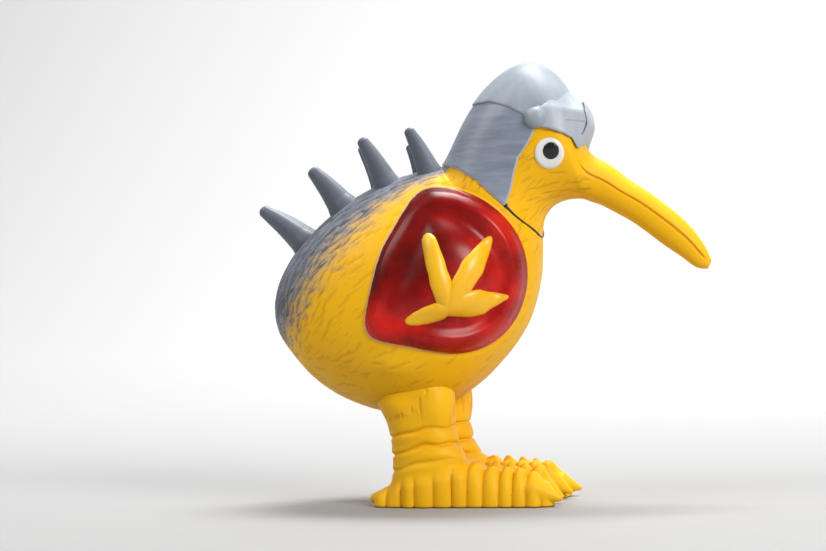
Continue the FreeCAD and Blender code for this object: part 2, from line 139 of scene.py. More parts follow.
CRACK = [  # ends in side view, half-width
    ((44.3, 131.4), (45.2, 129.6), 0.14), ((45.2, 129.6), (45.9, 127.3), 0.06),
    ((45.9, 127.3), (46.2, 125.0), 0.03), ((46.2, 125.0), (45.9, 123.2), 0.12),
    ((45.9, 123.2), (45.3, 121.6), 0.10), ((45.3, 121.6), (44.8, 120.6), 0.04),
    ((40.8, 125.2), (45.6, 124.9), -0.02),
]

SPIKES = [  # root, tip, radius, how far back the left one stands, how much shorter it is
    ((-52.5, 89.0), (-67.2, 100.6), 4.1, 1.6, 2.2),
    ((-38.6, 100.8), (-49.0, 113.4), 4.3, 3.2, 1.0),
    ((-22.8, 107.6), (-31.0, 123.0), 3.9, 4.2, 1.8),
    ((-7.6, 110.6), (-14.6, 125.6), 3.6, 4.8, 5.0),
]
SPIKE_Y, SPIKE_SINK = 6.0, 3.5

EYE_X, EYE_Y, EYE_Z = 36.4, 15.0, 114.5
EYE_DISC = (-1.2, 0.0, 4.8, 0.75, 0.25)     # shift along and up, radius, height at the rim, crown
PUPIL_DISC = (-0.7, 0.7, 2.8, 1.15, 0.55)
STRAP_LIFT = -0.02
STRAP_RADII, STRAP_END_RADIUS = (0.30, 0.46), 0.72
STRAP_HALF = [(20.8, -17.6, 98.4), (22.6, -15.6, 95.6), (25.0, -11.6, 92.4), (27.2, -6.2, 89.6),
              (28.6, 0.0, 87.6)]

PORT_X, PORT_R, PORT_DEPTH = -35.0, 6.0, 4.0   # squeaker opening under the belly

LEG_SECTIONS = [  # z, centre x, half x, half y, centre |y|
    (3.0, -7.0, 13.4, 7.6, 11.5), (9.0, -7.6, 13.6, 8.2, 11.5), (13.0, -8.6, 12.6, 8.3, 11.5),
    (18.0, -10.0, 11.2, 8.5, 11.0), (24.0, -11.1, 10.9, 8.9, 10.8), (31.0, -12.3, 12.0, 9.5, 10.9),
    (37.0, -12.6, 12.4, 9.7, 11.1), (42.0, -12.6, 11.2, 9.0, 11.0), (47.0, -12.6, 6.0, 5.5, 10.6),
]
ANKLE_CREASES = ((25.8, 0.85, 0.55), (20.4, 0.95, 0.6), (15.2, 0.75, 0.7))   # height, depth, width
ANKLE_ROLLS = ((23.0, 0.35), (17.6, 0.5), (12.2, 0.3))                        # height, rise
# heights of the painted shade along the ankle creases
CREASE_SHADES = (25.6, 20.0, 14.6)
TOE_EDGES = (-30.0, -22.5, -17.0, -12.5, -6.0, 0.2, 5.1, 10.4, 15.8, 20.3, 24.8, 29.6, 36.0)
INNER_TIERS = ((-6.4, 3.4, 3.8, 4.4), (-7.4, 9.2, 3.9, 3.7))   # y, z, half y, half z
THIGH_STROKES, THIGH_BAND = 80, (28.5, 37.5)
THIGH_STROKE_DEPTH = 0.40
LEG_BOX = ((-34.0, -25.0, -1.5), (40.0, 0.4, 48.5))   # room for the right leg's voxels

# ------------------------------------------------------------------ paints, linear RGB
YELLOW = (0.86, 0.455, 0.004)
YELLOW_DEEP = (0.74, 0.34, 0.003)
YELLOW_LIGHT = (0.90, 0.51, 0.008)
FEATHER_BROWN = (0.40, 0.16, 0.006)
MOUTH_BROWN = (0.50, 0.17, 0.008)
# brown of the painted shade round the tops of the thighs
FOLD_SHADE_BROWN = (0.60, 0.27, 0.01)
LEG_BROWN = (0.46, 0.17, 0.008)
# brown of the painted shade in the ankle creases
CREASE_SHADE_BROWN = (0.62, 0.26, 0.01)
SPRAY_GREYS = ((0.12, 0.145, 0.19), (0.21, 0.235, 0.285))
GREY_WASH = (0.055, 0.065, 0.085)
# the darker reds also carry the painted shade on the shields' upper rear
RED_DARK = (0.10, 0.002, 0.001)
RED_DEEP = (0.27, 0.004, 0.003)
RED = (0.54, 0.013, 0.008)
RED_SPECK = (0.40, 0.04, 0.03)
CREAM_LINE = (0.66, 0.50, 0.26)
SPIKE_GREYS = ((0.20, 0.225, 0.26), (0.125, 0.145, 0.175), (0.070, 0.082, 0.105))
HELMET_GREYS = ((0.235, 0.27, 0.32), (0.345, 0.39, 0.44))
VISOR_GREYS = ((0.31, 0.35, 0.40), (0.43, 0.47, 0.52))
CRACK_GREY = (0.08, 0.09, 0.11)
MAIL_GREYS = ((0.165, 0.195, 0.250), (0.255, 0.290, 0.355))
# pale grey for the painted highlight along the mail's rim
MAIL_RIM_HIGHLIGHT = (0.48, 0.51, 0.56)
EYE_WHITE = (0.80, 0.79, 0.76)
PUPIL_BLACK = (0.010, 0.011, 0.012)
STRAP_BLACK = (0.012, 0.010, 0.008)
SQUEAKER_WHITE = (0.80, 0.79, 0.74)
BLACK, WHITE = (0.0, 0.0, 0.0), (1.0, 1.0, 1.0)
# paper greys: painted shade near the front, painted light towards the wall
PAPER_SHADED_NEAR, PAPER_LIT_FAR = (0.35, 0.35, 0.35), (0.50, 0.50, 0.50)


# ------------------------------------------------------------------ numeric helpers
def spline(knots, values, at):
    """Natural cubic spline through values at knots."""
    knots, values = np.asarray(knots, float), np.asarray(values, float)
    n = len(knots)
    h = np.diff(knots)
    system = np.eye(n)
    rhs = np.zeros(n)
    for i in range(1, n - 1):
        system[i, i - 1] = h[i - 1]
        system[i, i] = 2 * (h[i - 1] + h[i])
        system[i, i + 1] = h[i]
        rhs[i] = 6 * ((values[i + 1] - values[i]) / h[i] - (values[i] - values[i - 1]) / h[i - 1])
    m = np.linalg.solve(system, rhs)
    k = np.clip(np.searchsorted(knots, at) - 1, 0, n - 2)
    a = (knots[k + 1] - at) / h[k]
    b = (at - knots[k]) / h[k]
    curve = a * values[k] + b * values[k + 1]
    return curve + ((a ** 3 - a) * m[k] + (b ** 3 - b) * m[k + 1]) * h[k] ** 2 / 6


def closed_curve(points, count):
    """Evenly spread points on a smooth closed curve through the given ones."""
    many = np.array([points[-2], points[-1]] + points + points[:3], float)
    step = np.linalg.norm(np.diff(many, axis=0), axis=1) ** 0.7
    knots = np.concatenate([[0], np.cumsum(step)])
    fine = np.linspace(knots[2], knots[2 + len(points)], 1200)
    line = np.column_stack([spline(knots, column, fine) for column in many.T])
    length = np.concatenate([[0], np.cumsum(np.linalg.norm(np.diff(line, axis=0), axis=1))])
    want = np.linspace(0, length[-1], count, endpoint=False)
    return np.column_stack([np.interp(want, length, column) for column in line.T])


def smooth_step(low, high, x):
    t = np.clip((x - low) / (high - low), 0, 1)
    return t * t * (3 - 2 * t)


def smooth_min(a, b, k):
    h = np.clip(0.5 + 0.5 * (b - a) / k, 0, 1)
    return b + (a - b) * h - k * h * (1 - h)


def smooth_max(a, b, k):
    return -smooth_min(-a, -b, k)


def gauss(x, width):
    return np.exp(-(x / width) ** 2)


def segment_distance(p, a, b):
    """Distance to a segment in two or three dimensions, and how far along it the nearest point is."""
    edge = [end - start for start, end in zip(a, b)]
    along = sum((c - start) * e for c, start, e in zip(p, a, edge)) / sum(e * e for e in edge)
    t = np.clip(along, 0, 1)
    return np.sqrt(sum((c - start - t * e) ** 2 for c, start, e in zip(p, a, edge))), t


def polygon_distance(outline, px, pz):
    """Signed distance to a closed polygon, negative inside."""
    pts = np.array(outline, float)
    best = np.full(px.shape, np.inf)
    inside = np.zeros(px.shape, bool)
    for a, b in zip(pts, np.roll(pts, -1, axis=0)):
        best = np.minimum(best, segment_distance((px, pz), a, b)[0])
        if a[1] != b[1]:
            crosses = (a[1] > pz) != (b[1] > pz)
            inside ^= crosses & (px < a[0] + (pz - a[1]) * (b[0] - a[0]) / (b[1] - a[1]))
    return np.where(inside, -best, best)


def soft_noise(points, scale, seed, waves=7):
    """Cheap smooth noise of about -1..1 from a few random waves."""
    rng = np.random.default_rng(seed)
    total = np.zeros(len(points))
    for _ in range(waves):
        wave = rng.normal(size=3) / scale
        total += np.sin(points @ wave * 2 * math.pi + rng.uniform(0, 6.28))
    return total / 4.0


# ------------------------------------------------------------------ mesh helpers
def to_frame(points):
    out = np.array(points, float) * MM
    out[:, 0] += DATUM_X * MM
    return out


def new_mesh(name, points, faces, attributes=None):
    """Smooth-shaded mesh object from datum millimetres."""
    mesh = bpy.data.meshes.new(name)
    mesh.from_pydata(to_frame(points).tolist(), [], [list(map(int, f)) for f in faces])
    mesh.validate()
    mesh.polygons.foreach_set("use_smooth", [True] * len(mesh.polygons))
    for key, values in (attributes or {}).items():
        layer = mesh.attributes.new(key, "FLOAT", "POINT")
        layer.data.foreach_set("value", np.asarray(values, np.float32))
    obj = bpy.data.objects.new(name, mesh)
    bpy.context.scene.collection.objects.link(obj)
    return obj


def grid_faces(rows, cols, base=0, closed=True):
    """Quads of a rows x cols grid, wrapping round the columns if closed."""
    r = np.arange(rows - 1)[:, None]
    c = np.arange(cols if closed else cols - 1)[None, :]
    n = (c + 1) % cols
    quads = np.stack([r * cols + c, r * cols + n, (r + 1) * cols + n, (r + 1) * cols + c], -1)
    return quads.reshape(-1, 4) + base


def capped_tube(rings):
    """Points and faces of a closed tube through rings, with a pole at each end."""
    rows, cols = rings.shape[:2]
    points = np.vstack([rings.reshape(-1, 3), rings[0].mean(0), rings[-1].mean(0)])
    low, high = rows * cols, rows * cols + 1
    faces = grid_faces(rows, cols).tolist()
    for c in range(cols):
        n = (c + 1) % cols
        faces.append([n, c, low])
        faces.append([(rows - 1) * cols + c, (rows - 1) * cols + n, high])
    return points, faces


def turned_over(faces):
    return [list(f)[::-1] for f in faces]


def mirrored(points, faces):
    return points * np.array([1, -1, 1]), turned_over(faces)


def triangles_of(faces):
    out = []
    for f in faces:
        out.append((f[0], f[1], f[2]))
        if len(f) == 4:
            out.append((f[0], f[2], f[3]))
    return out


def tree_of(points, faces):
    return BVHTree.FromPolygons([Vector(p) for p in points], [tuple(map(int, f)) for f in faces])


def vertex_normals(points, faces):
    tris = np.array(triangles_of(faces))
    a, b, c = points[tris[:, 0]], points[tris[:, 1]], points[tris[:, 2]]
    normal = np.cross(b - a, c - a)
    out = np.zeros_like(points)
    for k in range(3):
        np.add.at(out, tris[:, k], normal)
    return out / np.maximum(np.linalg.norm(out, axis=1), 1e-9)[:, None]


# ------------------------------------------------------------------ bird skin
class Skin:
    """Loft from rump to beak tip: position from (along, around)."""

    def __init__(self):
        sections = BODY + HEAD + BEAK
        self.back = np.array([s[0] for s in sections])
        self.belly = np.array([s[1] for s in sections])
        self.width = np.array([s[2] for s in sections])
        middle = (self.back + self.belly) / 2
        step = (np.linalg.norm(np.diff(middle, axis=0), axis=1)
                + np.linalg.norm(np.diff(self.belly, axis=0), axis=1)) / 2
        self.knots = np.concatenate([[0], np.cumsum(step)])
        self.length = self.knots[-1]
        self.seam = self.knots[len(BODY) - 1]
        self.beak_root = self.knots[len(BODY) + len(HEAD)]
        self.egg = np.interp(np.arange(len(sections)), EGG_SECTIONS, EGG_AMOUNTS)

    def grid(self, rows, cols):
        """Rings of points; column 0 is the back, going round over the bird's right side."""
        s = np.linspace(0, self.length, rows)
        bx, bz = (spline(self.knots, column, s)[:, None] for column in self.back.T)
        px, pz = (spline(self.knots, column, s)[:, None] for column in self.belly.T)
        width = spline(self.knots, self.width, s)[:, None]
        egg = np.interp(s, self.knots, self.egg)[:, None]
        around = 2 * math.pi * np.arange(cols) / cols
        ca, sa = np.cos(around)[None, :], np.sin(around)[None, :]
        side = width * (1 + egg * ca)
        points = np.stack([(bx + px) / 2 + (bx - px) / 2 * ca, -side * sa,
                           (bz + pz) / 2 + (bz - pz) / 2 * ca], -1)
        return s, around, points


def stroke_field(x, z):
    """Direction of the feather strokes in side view, pointing to the feather's tip."""
    angle = np.interp(x, STROKE_X, STROKE_ANGLE)
    low = smooth_step(62, 40, z)
    angle = angle * (1 - low) + low * (-160)
    throat = smooth_step(92, 104, z) * smooth_step(12, 22, x)
    angle = angle * (1 - throat) + throat * (-172)
    return np.radians(angle)


def scatter(points, weight, spacing, rng):
    """Indices of points at least a spacing apart, thinned out by weight."""
    taken = {}
    kept = []
    reach = (-1, 0, 1)
    for i in rng.permutation(len(points)):
        if weight[i] <= 0.02:
            continue
        p = points[i]
        x, y, z = np.floor(p / spacing).astype(int)
        near = [taken.get((x + dx, y + dy, z + dz)) for dx in reach for dy in reach for dz in reach]
        if any(q is not None and np.sum((q - p) ** 2) < spacing * spacing for q in near):
            continue
        taken[(x, y, z)] = p
        if rng.uniform() <= weight[i]:
            kept.append(i)
    return kept


def carve_strokes(points, normals, weight, rng):
    """Vertex displacement (mm) and a 0..1 darkness for engraved feather strokes."""
    depth = np.zeros(len(points))
    dark = np.zeros(len(points))
    tree = KDTree(len(points))
    for i, p in enumerate(points):
        tree.insert(p, i)
    tree.balance()
    for i in scatter(points, weight, STROKE_SPACING, rng):
        p, n = points[i], normals[i]
        angle = stroke_field(p[0], p[2]) + rng.normal(0, 0.16)
        forward = np.array([math.cos(angle), 0, math.sin(angle)])
        forward = forward - n * (forward @ n)
        length = np.linalg.norm(forward)
        if length < 0.2:
            continue
        forward /= length
        half = rng.uniform(2.0, 4.2) * (0.65 + 0.35 * weight[i])
        bow = rng.normal(0, 0.12)
        idx = np.array([k for _, k, _ in tree.find_range(p, half + 0.9)])
        rel = points[idx] - p
        along = rel @ forward
        off = rel @ np.cross(n, forward) - bow * (along / half) ** 2 * half
        taper = np.clip(1 - (along / half) ** 2, 0, 1) ** 0.5 * ((normals[idx] @ n) > 0.3)
        groove = gauss(off, 0.36) * taper
        lift = gauss(off - 0.95, 0.6) * taper
        raised = STROKE_LIFT * lift * (depth[idx] > -0.05)
        depth[idx] = np.minimum(depth[idx], -STROKE_DEPTH * groove) + raised
        dark[idx] = np.maximum(dark[idx], groove)
    return depth, dark


def shield_plane(points, side):
    """(u, z, out) of points in the shield's plane on one side."""
    c, s = math.cos(SHIELD_TURN), math.sin(SHIELD_TURN)
    away = points[:, 1] * side
    return points[:, 0] * c - away * s, points[:, 2], points[:, 0] * s + away * c


def from_shield_plane(u, z, out, side):
    c, s = math.cos(SHIELD_TURN), math.sin(SHIELD_TURN)
    return np.stack([u * c + out * s, (out * c - u * s) * side, z], -1)


def outwards(side):
    return from_shield_plane(0.0, 0.0, 1.0, side)


def press_pockets(points):
    """The skin with a pocket under each shield, and each point's distance to a shield's outline."""
    outline = closed_curve(SHIELD_OUTLINE, 160)
    edge = np.full(len(points), 99.0)
    for side, _ in SIDES:
        u, z, out = shield_plane(points, side)
        facing = (points[:, 1] * side > 1.0) & (out > POCKET_FLOOR)
        d = np.where(facing, polygon_distance(outline, u, z), 99.0)
        edge = np.minimum(edge, d)
        sink = POCKET_DEPTH * smooth_step(-0.3, -5.5, d) * facing
        sink = np.minimum(sink, np.maximum(out - POCKET_FLOOR, 0))
        points = points - sink[:, None] * outwards(side)
    return points, edge


def squeaker_hole(points):
    """How far each point is raised into the round hole under the belly."""
    from_port = np.hypot(points[:, 0] - PORT_X, points[:, 1])
    return PORT_DEPTH * smooth_step(PORT_R + 0.7, PORT_R - 0.1, from_port) * (points[:, 2] < 50)


def grey_spray(skin, points, along, ring):
    """0..1 grey paint over the back, ragged at its edge."""
    x, _, z = points.T
    from_back = np.minimum(ring, 2 * math.pi - ring)
    down = from_back * np.maximum(np.interp(along, skin.knots, skin.width), 4)
    rough = soft_noise(points, 9.0, 3) * 0.10 + soft_noise(points, 3.0, 4) * 0.05
    part_way = down / np.interp(x, GREY_X, GREY_REACH) + rough
    return smooth_step(1.18, 0.50, part_way) * smooth_step(8, 1, x) * (z > 45)


def feather_weight(skin, points, along, grey, shield_edge):
    """0..1 density of the feather strokes: none on beak, shields, helmet, seam or round the eye."""
    x, _, z = points.T
    head = smooth_step(skin.seam - 2, skin.seam + 6, along)
    weight = 1 - smooth_step(skin.beak_root - 3, skin.beak_root + 5, along)
    weight *= (shield_edge >= 0.8) & (polygon_distance(MAIL_OUTLINE, x, z) > 0.3)
    weight *= (z <= 126) & (np.abs(along - skin.seam) >= 1.5)
    density = 0.30 + 0.65 * grey + 0.25 * smooth_step(-5, -40, x)
    weight = np.clip(weight * (density * (1 - head) + 0.55 * head), 0, 1)
    return weight * smooth_step(5.5, 7.5, np.hypot(x - 36.6, z - 115.3))


def mouth_line(skin, along, ring):
    """0..1 groove along the beak where the two halves meet."""
    root = skin.knots[len(BODY) + len(HEAD) - 1]
    t = (along - root) / (skin.length - root)
    side = np.where(ring > math.pi, 2 * math.pi - ring, ring)
    level = np.interp(t, [0.0, 0.1, 0.5, 0.9, 1.0], [1.50, 1.42, 1.30, 1.25, 1.2])
    width = spline(skin.knots, skin.width, np.clip(along, 0, skin.length))
    away = (side - level) * np.maximum(width, 1.5) * 1.3
    return gauss(away, 0.42) * smooth_step(0.02, 0.10, t) * smooth_step(0.99, 0.93, t)


def saddle_swell(points):
    """0..1 soft swelling of the belly over each thigh."""
    x, y, z = points.T
    d = ((x + 15.5) / 8.5) ** 2 + ((z - 46.5) / 4.2) ** 2
    return np.exp(-d) * smooth_step(12, 18, np.abs(y))


def leg_fold_shade(points):
    """0..1 mask of painted shade round the top of each thigh."""
    x, y, z = points.T
    d = np.sqrt(((x + 12) / 14.5) ** 2 + ((np.abs(y) - 13) / 11.5) ** 2 + ((z - 33) / 12) ** 2)
    return smooth_step(1.35, 0.95, d)


def build_skin():
    """Skin from rump to beak tip; returns it with the plain loft that other pieces sit on."""
    skin = Skin()
    rows, cols = int(SKIN_ROWS * DETAIL), int(SKIN_COLS * DETAIL)
    s, around, rings = skin.grid(rows, cols)
    near_seam = 0.5 * gauss(s - skin.seam, NAPE_REACH)[1:-1, None, None]
    for _ in range(NAPE_ROUNDS):
        rings[1:-1] += near_seam * ((rings[:-2] + rings[2:]) / 2 - rings[1:-1])
    plain, faces = capped_tube(rings)
    normals = vertex_normals(plain, faces)
    along = np.concatenate([np.repeat(s, cols), [0.0, skin.length]])
    ring = np.concatenate([np.tile(around, rows), [0.0, 0.0]])

    points, shield_edge = press_pockets(plain)
    points[:, 2] += squeaker_hole(plain)
    grey = grey_spray(skin, plain, along, ring)
    weight = feather_weight(skin, plain, along, grey, shield_edge)
    depth, dark = carve_strokes(plain, normals, weight, np.random.default_rng(11))
    lip = mouth_line(skin, along, ring)
    rim = gauss(shield_edge - 0.6, 0.7)
    relief = depth - MOUTH_DEPTH * lip - RIM_DEPTH * rim + SWELL_HEIGHT * saddle_swell(plain)
    attributes = {"grey": grey, "groove": np.clip(dark, 0, 1), "feathered": weight, "mouth": lip,
                  "fold_shade": leg_fold_shade(plain)}
    obj = new_mesh("bird_skin", points + normals * relief[:, None], faces, attributes)
    return obj, plain, faces


# ------------------------------------------------------------------ side shields
def shield_profile(edge, theta):
    """Height above the body's surface at a distance in from the rim."""
    front = 0.5 + 0.5 * np.cos(theta - SHIELD_FRONT)

    def ring(least, more, place, width):
        return (least + more * front) * gauss(edge - place, width)

    rise = RIM_RISE * smooth_step(0.0, 2.2, edge)
    return rise + ring(*RIM_ROLL) - ring(*RIM_DISH) + CROWN_RISE * smooth_step(10, 20, edge)


def cast_on(uz, side, tree):
    """Points of a surface under shield-plane coordinates, seen from that side."""
    direction = Vector(from_shield_plane(0.0, 0.0, -1.0, side))
    hits = []
    for u, z in uz:
        start = Vector(from_shield_plane(u, z, CAST_FROM, side))
        place = tree.ray_cast(start, direction)[0]
        hits.append((start + direction * CAST_MISS if place is None else place)[:])
    return np.array(hits)


def relax_rings(rings):
    """Light smoothing along the rings, so that ray-cast noise doesn't show in the gloss."""
    for _ in range(2):
        rings = 0.5 * rings + 0.25 * (np.roll(rings, 1, axis=1) + np.roll(rings, -1, axis=1))
    return rings


def build_shield(side, name, tree):
    """Puffed glossy shield: top surface, rim tucked into the pocket, and a back."""
    cols, rows = int(300 * DETAIL), int(84 * DETAIL)
    centre = np.array(SHIELD_CENTRE)
    away = closed_curve(SHIELD_OUTLINE, cols) - centre
    reach = np.linalg.norm(away, axis=1)
    theta = np.arctan2(away[:, 1], away[:, 0])
    fraction = 1 - (1 - np.linspace(0.02, 1.0, rows)) ** 1.35
    edges = reach * (1 - fraction[:, None])
    out = outwards(side)
    top = relax_rings(np.array([cast_on(centre + away * f, side, tree) for f in fraction]))
    top = top + shield_profile(edges, theta)[..., None] * out
    under = [cast_on(centre + away * (1 - inset / reach)[:, None], side, tree) - out * drop
             for drop, inset in RIM_TUCK]
    under += [cast_on(centre + away * f, side, tree) - out * SHIELD_BACK for f in (0.9, 0.6, 0.3, 0.05)]
    points, faces = capped_tube(np.array([*top, *under]))
    if side < 0:
        faces = turned_over(faces)
    u, z, _ = shield_plane(points, side)
    rear = np.tile(smooth_step(0.1, -0.5, np.cos(theta)), rows + len(under))
    attributes = {
        "edge": np.concatenate([edges.ravel(), np.zeros(len(under) * cols), [20.0, 0.0]]),
        "rear": np.concatenate([rear, [0, 0]]),
        # painted shade: darker towards the shield's upper rear
        "painted_shade": smooth_step(12, -10, u) * smooth_step(58, 84, z),
    }
    return new_mesh(name, points, faces, attributes), tree_of(points, faces)


def toe_shape(t, heel, blunt, number):
    """Half-width of a toe from heel to tip, as a part of its widest."""
    shape = np.interp(t, [heel, 0.5 * heel, 0.12, 0.36, 0.56, 0.76, 0.92, 0.975, 1.0],
                      [0.0, 0.58, 0.86, 1.0, 0.97, 0.45 + 0.55 * blunt, blunt, 0.6 * blunt, 0.0])
    return shape * (1 + 0.06 * np.sin(9 * t + 2.1 * number) + 0.02 * np.sin(23 * t + number))


def build_track(side, name, tree):
    """Raised three-toed bird track with a hind toe."""
    out = outwards(side)
    centre = np.array(TRACK_CENTRE)
    points, faces = [], []
    rows, cols = int(60 * DETAIL), int(30 * DETAIL)
    v = np.linspace(-1, 1, cols)
    for number, (tip, half, blunt) in enumerate(TRACK_TOES):
        reach = np.array(tip) - centre
        length = np.linalg.norm(reach)
        across = np.array([-reach[1], reach[0]]) / length
        heel = -TRACK_HEEL / length
        t = 1.0 - (1.0 - heel) * (1.0 - np.sin(np.linspace(0.0, math.pi / 2, rows)))
        shape = toe_shape(t, heel, blunt, number)
        place = centre + reach * t[:, None, None] + across * (shape * half)[:, None, None] * v[None, :, None]
        surface = cast_on(place.reshape(-1, 2), side, tree).reshape(rows, cols, 3)
        dome = np.sqrt(np.clip(1 - v[None, :] ** 2, 0, 1)) * np.clip(shape, 0, 1)[:, None] ** 0.5
        top = surface + (TRACK_RISE * dome - TRACK_ROOT)[..., None] * out
        low = surface - 0.7 * out
        base = 2 * number * rows * cols
        points += [top.reshape(-1, 3), low.reshape(-1, 3)]
        faces += [grid_faces(rows, cols, base, closed=False),
                  grid_faces(rows, cols, base + rows * cols, closed=False)[:, ::-1]]
    faces = np.vstack(faces).tolist()
    if side > 0:
        faces = turned_over(faces)
    return new_mesh(name, np.vstack(points), faces)


# ------------------------------------------------------------------ back spikes
def build_spike(name, root, tip, radius):
    """Blunt horn, a little flattened and bowed, sunk into the back."""
    axis = tip - root
    length = np.linalg.norm(axis)
    axis /= length
    sideways = np.array([0.0, 1.0, 0.0])
    bow = np.cross(axis, sideways)
    rows, cols = int(60 * DETAIL), int(48 * DETAIL)
    t = np.concatenate([np.linspace(-SPIKE_SINK / length, 0.9, rows - 10),
                        0.9 + 0.1 * np.sin(np.linspace(0.15, 1.5, 10))])
    size = np.interp(t, [-0.3, 0.0, 0.1, 0.35, 0.7, 0.9], [1.35, 1.12, 1.0, 0.84, 0.64, 0.50])
    size = np.where(t > 0.9, 0.50 * np.sqrt(np.clip(1 - ((t - 0.9) / 0.102) ** 2, 0, 1)), size)
    a = 2 * math.pi * np.arange(cols) / cols
    ridge = 1 + 0.07 * np.cos(2 * a) + 0.05 * gauss(np.mod(a, math.pi) - math.pi / 2, 0.35)
    rings = []
    for ti, si in zip(t, size):
        centre = root + axis * length * ti + bow * (-0.35 * math.sin(math.pi * max(ti, 0)))
        r = radius * si * ridge
        rings.append(centre + np.outer(np.cos(a) * r, bow) + np.outer(np.sin(a) * r * 0.93, sideways))
    points, faces = capped_tube(np.array(rings))
    flank = np.concatenate([np.tile(np.abs(np.sin(a)), len(t)), [0, 0]])
    return new_mesh(name, points, faces, {"flank": flank})


# ------------------------------------------------------------------ voxel surfaces
def voxel_axes(low, high, step):
    counts = [int(math.ceil((h - l) / step)) + 1 for l, h in zip(low, high)]
    axes = [l + step * np.arange(c) for l, c in zip(low, counts)]
    return np.meshgrid(*axes, indexing="ij")


def smooth_mesh(points, quads, rounds, factor=0.5):
    """Laplacian smoothing that leaves the volume about the same."""
    n = len(points)
    edges = np.vstack([quads[:, [0, 1]], quads[:, [1, 2]], quads[:, [2, 3]], quads[:, [3, 0]]])
    edges = np.unique(np.sort(edges, axis=1), axis=0)
    degree = np.bincount(edges.ravel(), minlength=n)[:, None]
    for _ in range(rounds):
        for weight in (factor, -factor * 1.03):
            total = np.zeros_like(points)
            np.add.at(total, edges[:, 0], points[edges[:, 1]])
            np.add.at(total, edges[:, 1], points[edges[:, 0]])
            points = points + weight * (total / np.maximum(degree, 1) - points)
    return points


def surface_of(distance, low, step, rounds):
    """Outward-facing, lightly smoothed mesh of the zero surface of a distance array."""
    grid = vdb.FloatGrid(float(distance.max()))
    grid.copyFromArray(distance.astype(np.float32))
    points, quads = grid.convertToQuads(0.0)
    points = np.array(points, float) * step + np.array(low, float)
    quads = np.array(quads, int)
    a, b, c = points[quads[:, 0]], points[quads[:, 1]], points[quads[:, 2]]
    if np.einsum("ij,ij->i", a, np.cross(b, c)).sum() < 0:
        quads = quads[:, ::-1]
    return smooth_mesh(points, quads, rounds), quads


def ellipsoid(p, centre, size, turn=0.0):
    """Approximate distance to an ellipsoid, turned about Y by turn degrees."""
    dx, dy, dz = (c - at for c, at in zip(p, centre))
    if turn:
        c, s = math.cos(math.radians(turn)), math.sin(math.radians(turn))
        dx, dz = dx * c - dz * s, dx * s + dz * c
    k0 = np.sqrt((dx / size[0]) ** 2 + (dy / size[1]) ** 2 + (dz / size[2]) ** 2)
    k1 = np.sqrt((dx / size[0] ** 2) ** 2 + (dy / size[1] ** 2) ** 2 + (dz / size[2] ** 2) ** 2)
    return k0 * (k0 - 1.0) / np.maximum(k1, 1e-6)


def round_cone(p, a, b, ra, rb):
    """Distance to a capsule whose radius runs from ra to rb."""
    d, t = segment_distance(p, a, b)
    return d - (ra + (rb - ra) * t)


# ------------------------------------------------------------------ legs and feet
def leg_distance(p):
    """Right leg: thigh, knee and an ankle with soft rolls between sagging, uneven creases."""
    x, y, z = p
    table = np.array(LEG_SECTIONS)
    level = np.clip(z, table[0, 0], table[-1, 0])
    cx, hx, hy, away = (np.interp(level, table[:, 0], table[:, k]) for k in (1, 2, 3, 4))
    swell = np.zeros_like(z)
    for (crease, depth, width), shift in zip(ANKLE_CREASES, (0.0, 1.9, 3.4)):
        sag = -3.0 * np.clip((cx - x) / hx, -0.2, 1) + 0.30 * np.sin(0.55 * x + 0.4 * y + shift)
        swell -= depth * gauss(z - crease - sag + 0.6, width)
    for bulge, rise in ANKLE_ROLLS:
        swell += rise * gauss(z - bulge, 2.0)
    hx, hy = hx + swell, hy + swell
    k = (np.abs((x - cx) / hx) ** 2.3 + np.abs((y + away) / hy) ** 2.3) ** (1 / 2.3)
    leg = smooth_max((k - 1.0) * np.minimum(hx, hy), np.maximum(z - 46.0, 2.5 - z), 2.0)
    knee = ellipsoid(p, (-6.6, -13.4, 33.0), (6.6, 7.0, 9.5))
    haunch = ellipsoid(p, (-16.5, -13.4, 34.0), (9.0, 7.6, 6.0), 14)
    return smooth_min(smooth_min(leg, haunch, 2.0), knee, 1.6)


def lobes(x, edges):
    """Rounded bumps 0..1 between the given edges, touching 0 at each edge."""
    edges = np.array(edges)
    i = np.clip(np.searchsorted(edges, x) - 1, 0, len(edges) - 2)
    f = np.clip((x - edges[i]) / (edges[i + 1] - edges[i]), 0, 1)
    return np.clip(1 - (2 * f - 1) ** 2, 0, 1) ** 0.7


def toe_distance(p, ridge, middle, half, square, front):
    """Long smooth toe lying on the floor; ridge is (x, height) pairs."""
    x, y, z = p
    ridge = np.array(ridge)
    top = np.interp(x, ridge[:, 0], ridge[:, 1])
    ahead = np.clip((x - front) / 5.0, 0, None) + np.clip((ridge[0, 0] - x) / 6.0, 0, None)
    k = (np.abs((y + middle) / half) ** square + np.abs(z / top) ** square + ahead ** square) ** (1 / square)
    return (k - 1.0) * np.minimum(half, top)


def rib_swell(p):
    """How far the upright ribs of the outer wall and the heel stand out."""
    x, y, z = p
    outside = smooth_step(-8.0, -10.0, y) + smooth_step(-2.0, -6.0, x)
    top = np.interp(x, [-24.0, -14.0, -6.0, 4.0, 8.0], [7.5, 11.0, 12.0, 14.5, 19.0])
    reach = smooth_step(top, top - 5.0, z) * smooth_step(-30.0, -27.0, x)
    return 1.45 * lobes(x, TOE_EDGES) * np.minimum(outside, 1) * reach


def inner_scales(p):
    """Two tiers of rounded scales along the inner toe."""
    d = None
    for start, end in zip(TOE_EDGES[4:-2], TOE_EDGES[5:-1]):
        for y, z, reach, height in INNER_TIERS:
            scale = ellipsoid(p, ((start + end) / 2, y, z), ((end - start) / 2 * 1.12, reach, height))
            d = scale if d is None else smooth_min(d, scale, 0.35)
    return d


